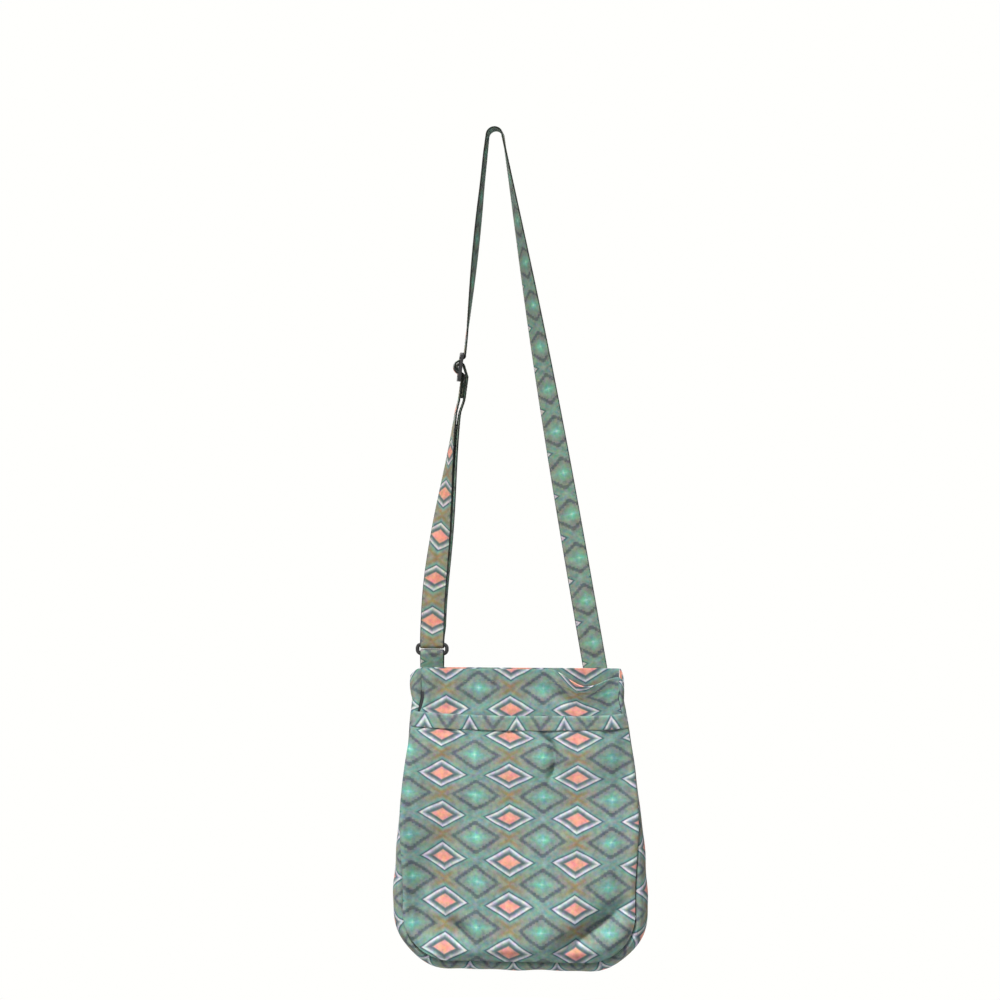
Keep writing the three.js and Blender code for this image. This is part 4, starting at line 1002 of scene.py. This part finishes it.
strap_threads = {name: strap_stitches(f"thread_{name}", rows) for name, rows in strap_cuts.items()}
tab_thread = strap_stitches("thread_tab", slice(None), tab_place, tab_way, tab_face)
x = np.linspace(-HEM_HALF, HEM_HALF, SEAM_PLACES)
drop = np.full(x.shape, HEM_DROP)
to_front, to_back = np.tile([0.0, -1, 0], (SEAM_PLACES, 1)), np.tile([0.0, 1, 0], (SEAM_PLACES, 1))
front_hem = on_front(x, drop, upper_hollow(x, drop) + drawn_in(x, drop))
back_hem = on_back(x, drop, back_hollow(x, drop) + drawn_in(np.abs(x), drop))
x = np.linspace(-BAND_HALF, BAND_HALF, SEAM_PLACES)
band_hem = on_pocket(x, np.full(x.shape, POCKET_DROP + BAND_HEIGHT - BAND_SEAM), -BAND_LIFT)
pouch_threads = [
    stitches("thread_front_hem", front_hem, to_front),
    stitches("thread_back_hem", back_hem, to_back),
    stitches("thread_pocket_band", band_hem, to_front),
]
print("rows of stitches", 4 * len(strap_threads) + 4 + len(pouch_threads))

# %% [markdown]
# ## Finishes
# Colours are written as they look on screen, in hex, and turned to linear light by one function. A
# second one adds a node with its settings and links; every finish below is made with it.

# %% Colours and nodes


def linear(code):
    """An sRGB hex colour as linear red, green, blue and an alpha of 1."""
    value = np.array([int(code[k : k + 2], 16) for k in (1, 3, 5)]) / 255
    light = np.where(value <= 0.04045, value / 12.92, ((value + 0.055) / 1.055) ** 2.4)
    return (*light.tolist(), 1.0)


def add(tree, kind, inputs=None, **settings):
    """One node with its settings; each input takes a value, or a link from another socket. A Mix node of
    colours has its factor at input 0, its colours at inputs 6 and 7, and its result at output 2."""
    node = tree.nodes.new(kind)
    for name, value in settings.items():
        setattr(node, name, value)
    for name, value in (inputs or {}).items():
        if isinstance(value, bpy.types.NodeSocket):
            tree.links.new(value, node.inputs[name])
        else:
            node.inputs[name].default_value = value
    return node


def stops_of(node, stops):
    """Gives a colour ramp its stops, from places and hex colours; its colour is the result."""
    ramp = node.color_ramp
    while len(ramp.elements) > 1:
        ramp.elements.remove(ramp.elements[-1])
    for k, (place, code) in enumerate(stops):
        element = ramp.elements[0] if k == 0 else ramp.elements.new(place)
        element.position, element.color = place, linear(code)
    return node.outputs["Color"]


def finish(name, roughness, **settings):
    """A material with a bare Principled shader: its tree, and the shader to link to."""
    material = bpy.data.materials.new(name)
    material.use_nodes = True
    shader = material.node_tree.nodes["Principled BSDF"]
    shader.inputs["Roughness"].default_value = roughness
    for socket, value in settings.items():
        shader.inputs[socket.replace("_", " ").title()].default_value = value
    return material, material.node_tree, shader


print("mid grey", round(linear("#808080")[0], 3))

# %% [markdown]
# ### Printed cotton
# The cloth is a printed cotton canvas: matt, with a soft sheen at grazing angles and a plain weave.
# The print is a lattice of lozenges. It could be a picture, but sums of waves stay sharp at any size.
# With a and b as triangle waves along the two axes, a + 1.1 b is 0 in the middle of a coral lozenge and
# grows outwards, so its rings are one colour ramp. A like sum from the opposite corner of the cell is 0
# in the middle of a stepped lozenge. Its zigzag is the mean of that sum and of the same sum with both
# waves rounded down to small blocks, and the cross in its middle is the lesser of two steep sums. Fading
# and mottling are noise. On the strap, the edge attribute warms the cloth and darkens its edges, a painted
# shade.

# %% Printed cotton
CORAL_RINGS = [
    (0.0, "#e39b87"), (0.13, "#e09a89"), (0.188, "#d49a92"), (0.208, "#84807f"), (0.226, "#646f70"),
    (0.248, "#546668"), (0.285, "#62767a"), (0.335, "#98a2a6"), (0.372, "#cbccd2"), (0.402, "#c8c9d0"),
    (0.430, "#54686f"), (0.450, "#4c656b"), (0.474, "#65908b"), (0.505, "#74988f"), (0.545, "#829087"),
    (0.620, "#838e86"),
]
CROSSINGS = [
    (0.0, "#8e7850"), (0.24, "#8a8062"), (0.44, "#848e7f"), (0.65, "#76978f"), (0.85, "#67948f"),
    (1.0, "#84a19b"),
]
BETWEEN = [
    (0.49, "#000000"), (0.55, "#808080"), (0.60, "#f0f0f0"), (0.65, "#f0f0f0"), (0.70, "#a8a8a8"),
    (0.80, "#808080"),
]
STEPPED_RINGS = [
    (0.0, "#9cc8be"), (0.10, "#74b5a8"), (0.20, "#72a799"), (0.38, "#7c988c"), (0.56, "#7c8782"),
    (0.72, "#7d8983"),
]
INSIDE = [(0.64, "#ffffff"), (0.76, "#000000")]
ZIGZAG = [(0.505, "#000000"), (0.565, "#dcdcdc"), (0.67, "#dcdcdc"), (0.735, "#000000")]
BAR = [(0.0, "#cfe2d2"), (0.07, "#aadfd6"), (0.16, "#76d0c5"), (0.34, "#6cbfb3")]
ON_BAR = [(0.0, "#a8a8a8"), (0.10, "#686868"), (0.24, "#000000")]
SLATE = "#46525d"
WORN = [(0.3, "#dedede"), (0.7, "#ffffff")]
# the strap's warm tint, and a painted shade that darkens the strap's edges
TINT_AND_RIM_SHADE = [(0.0, "#ffffff"), (0.1, "#f9f3e9"), (0.91, "#f9f3e9"), (0.98, "#4a4640")]
CORAL_SLOPE_A, CORAL_SLOPE_B = 0.6, 0.66  # of a coral lozenge's rings
STEPPED_SLOPE, CROSS_SLOPE = 0.95, 3.2  # of one wave to the other, in the stepped lozenge and its cross
STEP = 0.095  # size of the zigzag's blocks, as a share of half a cell
WANDER, WANDER_SIZE = 5.0, 35.71  # mm that the print wanders, and over what size
WORN_SIZE, MOTTLE_SIZE, MOTTLE = 8.333, 4.167, 0.5  # sizes in mm, and share of the mottling
THREAD_SPACING = 1.1  # mm; real threads are about half that, too fine to show in the picture
THREAD_HEIGHT = 0.3  # mm, of the weave's bump
COTTON_ROUGHNESS, COTTON_SHINE, COTTON_SHEEN = 0.92, 0.25, 0.04


def weave_height(tree, cloth, spacing):
    """The height of a plain weave: the product of a sine across each of the two threads."""
    turns = 2 * np.pi / (spacing * MM)
    spun = {0: cloth, 1: (turns, turns, 0)}
    threads = add(tree, "ShaderNodeVectorMath", spun, operation="MULTIPLY").outputs[0]
    waves = add(tree, "ShaderNodeVectorMath", {0: threads}, operation="SINE").outputs[0]
    wave = add(tree, "ShaderNodeSeparateXYZ", {0: waves}).outputs
    return add(tree, "ShaderNodeMath", {0: wave["X"], 1: wave["Y"]}, operation="MULTIPLY").outputs[0]


def printed_cotton():
    """Lattice, fading, mottling, the strap's warm tint and a painted shade at its edges as the base colour,
    and the weave as a bump.
    """
    sheen = {"Sheen_weight": COTTON_SHEEN, "Sheen_roughness": 0.5}
    material, tree, shader = finish("printed_cotton", COTTON_ROUGHNESS, **sheen)
    shader.inputs["Specular IOR Level"].default_value = COTTON_SHINE
    cloth = add(tree, "ShaderNodeUVMap", uv_map="cloth").outputs["UV"]
    clouds = {"Vector": cloth, "Scale": 1 / (WANDER_SIZE * MM), "Detail": 1.0}
    wander = add(tree, "ShaderNodeTexNoise", clouds).outputs["Color"]
    middle = {0: wander, 1: (0.5, 0.5, 0.5)}
    shift = add(tree, "ShaderNodeVectorMath", middle, operation="SUBTRACT").outputs[0]
    moved = {0: shift, 1: (WANDER * MM, WANDER * MM, 0), 2: cloth}
    place = add(tree, "ShaderNodeVectorMath", moved, operation="MULTIPLY_ADD").outputs[0]
    size = (2 / (LATTICE_WIDTH * MM), 2 / (LATTICE_HEIGHT * MM), 1)
    cells = add(tree, "ShaderNodeVectorMath", {0: place, 1: size}, operation="MULTIPLY").outputs[0]
    cell = add(tree, "ShaderNodeSeparateXYZ", {0: cells}).outputs
    a = add(tree, "ShaderNodeMath", {0: cell["X"], 1: 1.0}, operation="PINGPONG").outputs[0]
    b = add(tree, "ShaderNodeMath", {0: cell["Y"], 1: 1.0}, operation="PINGPONG").outputs[0]
    far_a = add(tree, "ShaderNodeMath", {0: 1.0, 1: a}, operation="SUBTRACT").outputs[0]
    far_b = add(tree, "ShaderNodeMath", {0: 1.0, 1: b}, operation="SUBTRACT").outputs[0]

    scaled = add(tree, "ShaderNodeMath", {0: a, 1: CORAL_SLOPE_A}, operation="MULTIPLY").outputs[0]
    outwards = {0: b, 1: CORAL_SLOPE_B, 2: scaled}
    coral = add(tree, "ShaderNodeMath", outwards, operation="MULTIPLY_ADD").outputs[0]
    rings = stops_of(add(tree, "ShaderNodeValToRGB", {"Fac": coral}), CORAL_RINGS)
    tilt = add(tree, "ShaderNodeMath", {0: a, 1: b}, operation="SUBTRACT").outputs[0]
    lean = add(tree, "ShaderNodeMath", {0: tilt, 1: 0.5, 2: 0.5}, operation="MULTIPLY_ADD").outputs[0]
    crossings = stops_of(add(tree, "ShaderNodeValToRGB", {"Fac": lean}), CROSSINGS)
    between = stops_of(add(tree, "ShaderNodeValToRGB", {"Fac": coral}), BETWEEN)
    lattice = add(tree, "ShaderNodeMix", {0: between, 6: rings, 7: crossings}, data_type="RGBA").outputs[2]

    inwards = {0: far_b, 1: STEPPED_SLOPE, 2: far_a}
    stepped = add(tree, "ShaderNodeMath", inwards, operation="MULTIPLY_ADD").outputs[0]
    inner = stops_of(add(tree, "ShaderNodeValToRGB", {"Fac": stepped}), STEPPED_RINGS)
    inside = stops_of(add(tree, "ShaderNodeValToRGB", {"Fac": stepped}), INSIDE)
    filled = add(tree, "ShaderNodeMix", {0: inside, 6: lattice, 7: inner}, data_type="RGBA").outputs[2]
    block_a = add(tree, "ShaderNodeMath", {0: far_a, 1: STEP}, operation="SNAP").outputs[0]
    block_b = add(tree, "ShaderNodeMath", {0: far_b, 1: STEP}, operation="SNAP").outputs[0]
    blocks = {0: block_b, 1: STEPPED_SLOPE, 2: block_a}
    stair = add(tree, "ShaderNodeMath", blocks, operation="MULTIPLY_ADD").outputs[0]
    both = add(tree, "ShaderNodeMath", {0: stair, 1: stepped}, operation="ADD").outputs[0]
    ragged = add(tree, "ShaderNodeMath", {0: both, 1: 0.5}, operation="MULTIPLY").outputs[0]
    inked = stops_of(add(tree, "ShaderNodeValToRGB", {"Fac": ragged}), ZIGZAG)
    zigzag = {0: inked, 6: filled, 7: linear(SLATE)}
    drawn = add(tree, "ShaderNodeMix", zigzag, data_type="RGBA").outputs[2]

    arms = [{0: far_b, 1: CROSS_SLOPE, 2: far_a}, {0: far_a, 1: CROSS_SLOPE, 2: far_b}]
    level, plumb = [add(tree, "ShaderNodeMath", arm, operation="MULTIPLY_ADD").outputs[0] for arm in arms]
    cross = add(tree, "ShaderNodeMath", {0: level, 1: plumb}, operation="MINIMUM").outputs[0]
    bar = stops_of(add(tree, "ShaderNodeValToRGB", {"Fac": cross}), BAR)
    on_bar = stops_of(add(tree, "ShaderNodeValToRGB", {"Fac": cross}), ON_BAR)
    printed = add(tree, "ShaderNodeMix", {0: on_bar, 6: drawn, 7: bar}, data_type="RGBA").outputs[2]

    patches = {"Vector": cloth, "Scale": 1 / (WORN_SIZE * MM), "Detail": 4.0}
    fade = add(tree, "ShaderNodeTexNoise", patches).outputs["Fac"]
    worn = stops_of(add(tree, "ShaderNodeValToRGB", {"Fac": fade}), WORN)
    pale = {0: 1.0, 6: printed, 7: worn}
    faded = add(tree, "ShaderNodeMix", pale, data_type="RGBA", blend_type="MULTIPLY").outputs[2]
    specks = {"Vector": cloth, "Scale": 1 / (MOTTLE_SIZE * MM), "Detail": 3.0}
    cast = add(tree, "ShaderNodeTexNoise", specks).outputs["Color"]
    mottle = {0: MOTTLE, 6: faded, 7: cast}
    dyed = add(tree, "ShaderNodeMix", mottle, data_type="RGBA", blend_type="OVERLAY").outputs[2]
    # painted shade: the edge attribute darkens the strap's edges and warms its cloth
    edge = add(tree, "ShaderNodeAttribute", attribute_name="edge").outputs["Fac"]
    tint_and_rim_shade = stops_of(add(tree, "ShaderNodeValToRGB", {"Fac": edge}), TINT_AND_RIM_SHADE)
    dark = {0: 1.0, 6: dyed, 7: tint_and_rim_shade}
    tint_and_rim_shaded = add(tree, "ShaderNodeMix", dark, data_type="RGBA", blend_type="MULTIPLY").outputs[2]
    tree.links.new(tint_and_rim_shaded, shader.inputs["Base Color"])

    weave = weave_height(tree, cloth, THREAD_SPACING)
    bump = add(tree, "ShaderNodeBump", {"Height": weave, "Strength": 0.25, "Distance": THREAD_HEIGHT * MM})
    tree.links.new(bump.outputs["Normal"], shader.inputs["Normal"])
    return material


cotton = printed_cotton()
print("nodes in the print", len(cotton.node_tree.nodes))

# %% [markdown]
# ### Plain cloth, plastic, metal and thread
# The lining is a thin woven polyester and the tape a slightly coarser one, both dark and dull. The ring,
# the adjuster and the teeth are moulded acetal, which is dense and slightly waxy, so it has a soft
# highlight. The slider is cast zinc with a dark plating, and the thread is spun cotton, which is matt.

# %% Other finishes
CLOUD_SIZE = 5.556  # mm
CLOUD_GAIN, CLOUD_LIFT = 1.35, 0.002  # how much lighter a cloud is
SMOOTHER, DULLER = 0.08, 0.1  # how far the roughness strays with the clouds
# painted highlight: the tops of a weave are painted lighter
THREAD_HIGHLIGHT_GAIN = 1.5  # how much lighter the tops of a weave are
GRAIN_HEIGHT = 0.2  # mm, of the bump that a mould or a spinner leaves


def woven(name, code, spacing, roughness):
    """A plain dark weave on the cloth's own coordinates, its threads drawn coarse enough to show, in mm,
    with a painted highlight on their tops.
    """
    material, tree, shader = finish(name, roughness, Sheen_weight=0.1)
    cloth = add(tree, "ShaderNodeUVMap", uv_map="cloth").outputs["UV"]
    weave = weave_height(tree, cloth, spacing)
    level = add(tree, "ShaderNodeMath", {0: weave, 1: 0.5, 2: 0.5}, operation="MULTIPLY_ADD").outputs[0]
    # the tops of the threads get a painted highlight
    lighter = tuple(min(THREAD_HIGHLIGHT_GAIN * value, 1) for value in linear(code)[:3])
    shades = {0: level, 6: linear(code), 7: (*lighter, 1)}
    colour = add(tree, "ShaderNodeMix", shades, data_type="RGBA").outputs[2]
    bump = add(tree, "ShaderNodeBump", {"Height": weave, "Strength": 0.3, "Distance": THREAD_HEIGHT * MM})
    tree.links.new(colour, shader.inputs["Base Color"])
    tree.links.new(bump.outputs["Normal"], shader.inputs["Normal"])
    return material


def moulded(name, code, roughness, grain, **settings):
    """A moulded, cast or spun surface: one colour with a faint cloud, and a fine grain in mm."""
    material, tree, shader = finish(name, roughness, **settings)
    where = add(tree, "ShaderNodeTexCoord").outputs["Object"]
    clouds = {"Vector": where, "Scale": 1 / (CLOUD_SIZE * MM), "Detail": 3.0}
    cloud = add(tree, "ShaderNodeTexNoise", clouds).outputs["Fac"]
    lighter = tuple(min(CLOUD_GAIN * value + CLOUD_LIFT, 1) for value in linear(code)[:3])
    shades = {0: cloud, 6: linear(code), 7: (*lighter, 1)}
    colour = add(tree, "ShaderNodeMix", shades, data_type="RGBA").outputs[2]
    tree.links.new(colour, shader.inputs["Base Color"])
    strayed = {"Value": cloud, "To Min": roughness - SMOOTHER, "To Max": roughness + DULLER}
    dull = add(tree, "ShaderNodeMapRange", strayed).outputs["Result"]
    tree.links.new(dull, shader.inputs["Roughness"])
    grains = {"Vector": where, "Scale": 1 / (grain * MM), "Detail": 2.0}
    fine = add(tree, "ShaderNodeTexNoise", grains).outputs["Fac"]
    bump = add(tree, "ShaderNodeBump", {"Height": fine, "Strength": 0.12, "Distance": GRAIN_HEIGHT * MM})
    tree.links.new(bump.outputs["Normal"], shader.inputs["Normal"])
    return material


lining_cloth = woven("lining_polyester", "#181b1e", spacing=0.9, roughness=0.75)
tape_cloth = woven("zip_tape_polyester", "#1b1c1f", spacing=1.0, roughness=0.85)
acetal = moulded("moulded_acetal", "#141416", roughness=0.38, grain=0.6)
zinc = moulded("plated_zinc", "#4b4c50", roughness=0.34, grain=0.4, Metallic=1.0)
thread = moulded("cotton_thread", "#7c7f6d", roughness=0.9, grain=0.5)
print("finishes", [material.name for material in (cotton, lining_cloth, tape_cloth, acetal, zinc, thread)])

# %% [markdown]
# ## Which body carries what
# The pouch, the tab and the right leg belong to the bag. The strap's left side could be cut at the
# adjuster, but a strap is one piece of cloth. So its pieces there get no body, and a table lists for each
# the adjuster, or the ring for its lowest loop, with two places along the strap.

# %% Dress the pieces
FREE_END = 2.0  # the table's first place lies this far inside its piece
HELD_ABOVE, HELD_BELOW = 20.0, 8.0  # strap above and below the adjuster, where its entries in the table end
LOOP_BEND = 30.0  # height above the ring where the loop's entry in the table starts


def dress(obj, material, slot, body, *nodes):
    """Finish, body and the solids that a piece stands for; the slot is not used."""
    obj.data.materials.append(material)
    if body:
        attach(obj, body)
    if nodes:
        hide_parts(*nodes)


outer_cloth = (front_panel, back_panel, gusset, pocket, band)
for obj, node in zip(outer_cloth, ("front_panel", "back_panel", "gusset", "front_pocket", "pocket_band")):
    dress(obj, cotton, "print_fabric", "bag", node)
linings = (lining_front, lining_back, lining_gusset)
for obj, node in zip(linings, ("lining_front", "lining_back", "lining_gusset")):
    dress(obj, lining_cloth, "lining_fabric", "bag", node)
for half, (tape, cord, teeth) in zip_halves.items():
    dress(tape, tape_cloth, "zip_tape", "bag", f"zip_tape_{half}")
    dress(teeth, acetal, "zip_teeth", "bag", f"zip_chain_{half}")
    dress(cord, acetal, "zip_teeth", "bag")
for node, stop in zip_stops.items():
    dress(stop, zinc, "zip_metal", "bag", node)
dress(slider, zinc, "zip_metal", "zip_slider", "zip_slider")
dress(pull, zinc, "zip_metal", "zip_pull", "zip_pull")
dress(ring, acetal, "black_plastic", "ring", "ring")
dress(adjuster, acetal, "black_plastic", "adjuster", "adjuster")
dress(tab, cotton, "strap_fabric", "bag", "strap_tab")
for obj in (*pouch_threads, tab_thread):
    dress(obj, thread, "strap_fabric", "bag")

leg_place = lambda length: tuple(leg_frame(np.array([length]))[0][0] * MM)
above_ring = (RING_X * MM, RING_Y * MM, (RING_HIGH + LOOP_BEND) * MM)
at_ring = (RING_X * MM, RING_Y * MM, RING_HIGH * MM)
held_above = leg_place(ADJUSTER_PLACE - HELD_ABOVE)
held_below = leg_place(ADJUSTER_PLACE + END_LAP + HELD_BELOW)
blends = {
    "left_upper": ("adjuster", leg_place(LEAVE + FREE_END), held_above),
    "left_lower": ("adjuster", leg_place(LOOP_TOP - FREE_END), held_below),
    "left_tail": ("adjuster", leg_place(LOOP_TOP - FREE_END), held_below),
    "ring_loop": ("ring", above_ring, at_ring),
}
for name, piece in straps.items():
    for obj, material in ((piece, cotton), (strap_threads[name], thread)):
        dress(obj, material, "strap_fabric", None if name in blends else "bag")
        if name in blends:
            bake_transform(obj)
    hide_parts("strap")
print("blended", sorted(blends))

# %% [markdown]

# %% Sheets


# %% [markdown]
# ## Light, floor and background
# Soft light from above shows the folds. A broad sun stands high in front, a little to the left, a weak
# lamp low in front lifts the shadows, and a second sun lights the back. A picture of a room could light
# the bag too, but lamps can be placed. The floor lies below the bag. It is pale and keeps the shadow,
# and further out it runs into the white of the background. Light that bounces off it is dimmed, so that
# the undersides of the folds stay dark.

# %% Light and floor
ROOM, BACKGROUND = 0.15, "#fffffd"
LOOK_AT = Vector((0.02, 0, -0.6))  # the middle of the bag, in metres
FLOOR_Z, FLOOR_RINGS, FLOOR_STEPS = -1.0, (0, 0.3, 0.8, 2.0, 6.0), 64
FLOOR_SEEN, FLOOR_BOUNCE = "#f4f4f2", "#a0a0a0"
FADE_START, FADE_END = 0.12, 0.42  # where the floor runs into the background


def seen_rays(tree):
    """1 for camera, glossy and transmission rays, which see the background, and 0 for the others."""
    path = add(tree, "ShaderNodeLightPath").outputs
    mirrored = {0: path["Is Glossy Ray"], 1: path["Is Transmission Ray"]}
    seen = add(tree, "ShaderNodeMath", mirrored, operation="MAXIMUM").outputs[0]
    return add(tree, "ShaderNodeMath", {0: seen, 1: path["Is Camera Ray"]}, operation="MAXIMUM").outputs[0]


scene = bpy.context.scene
scene.view_settings.view_transform = "Standard"
world = bpy.data.worlds.new("room")
world.use_nodes = True
scene.world = world
tree = world.node_tree
light = tree.nodes["Background"]
light.inputs["Color"].default_value = linear("#ffffff")
light.inputs["Strength"].default_value = ROOM
white = add(tree, "ShaderNodeBackground", {"Color": linear(BACKGROUND), "Strength": 1.0})
mixed = add(tree, "ShaderNodeMixShader", {0: seen_rays(tree), 1: light.outputs[0], 2: white.outputs[0]})
tree.links.new(mixed.outputs[0], tree.nodes["World Output"].inputs["Surface"])


def lamp(name, kind, place, power, **settings):
    """A lamp that looks at the middle of the bag."""
    data = bpy.data.lights.new(name, kind)
    data.energy = power
    for setting, value in settings.items():
        setattr(data, setting, value)
    obj = bpy.data.objects.new(name, data)
    scene.collection.objects.link(obj)
    obj.location = place
    obj.rotation_euler = (LOOK_AT - Vector(place)).to_track_quat("-Z", "Y").to_euler()


lamp("key", "SUN", place=(-0.38, -1.2, 1.55), power=5.6, angle=np.radians(10))
lamp("fill", "AREA", place=(0.0, -1.9, -0.75), power=3, size=1.2)
lamp("rear", "SUN", place=(-0.5, 1.5, 0.8), power=2.6, angle=np.radians(30))

angle = np.linspace(0, 2 * np.pi, FLOOR_STEPS, endpoint=False)[None, :]
radius = np.array(FLOOR_RINGS)[:, None]
level = FLOOR_Z + 0 * radius + 0 * angle
disc = np.stack([radius * np.cos(angle), radius * np.sin(angle), level], -1) / MM
floor = weld(surface("floor", disc, round_columns=True))
material, tree, shader = finish("pale_floor", roughness=0.9)
floor_path = add(tree, "ShaderNodeLightPath").outputs
tints = {0: floor_path["Is Diffuse Ray"], 6: linear(FLOOR_SEEN), 7: linear(FLOOR_BOUNCE)}
tint = add(tree, "ShaderNodeMix", tints, data_type="RGBA").outputs[2]
tree.links.new(tint, shader.inputs["Base Color"])
where = add(tree, "ShaderNodeTexCoord").outputs["Object"]
flat = add(tree, "ShaderNodeVectorMath", {0: where, 1: (1, 1, 0)}, operation="MULTIPLY").outputs[0]
away = add(tree, "ShaderNodeVectorMath", {0: flat}, operation="LENGTH").outputs["Value"]
fading = {"Value": away, "From Min": FADE_START, "From Max": FADE_END}
far = add(tree, "ShaderNodeMapRange", fading).outputs["Result"]
glow = add(tree, "ShaderNodeEmission", {"Color": linear(BACKGROUND), "Strength": 1.0})
share = add(tree, "ShaderNodeMath", {0: far, 1: seen_rays(tree)}, operation="MULTIPLY").outputs[0]
runs_out = add(tree, "ShaderNodeMixShader", {0: share, 1: shader.outputs[0], 2: glow.outputs[0]})
tree.links.new(runs_out.outputs[0], tree.nodes["Material Output"].inputs["Surface"])
floor.data.materials.append(material)
print("lamps", len(bpy.data.lights), "floor at", FLOOR_Z)
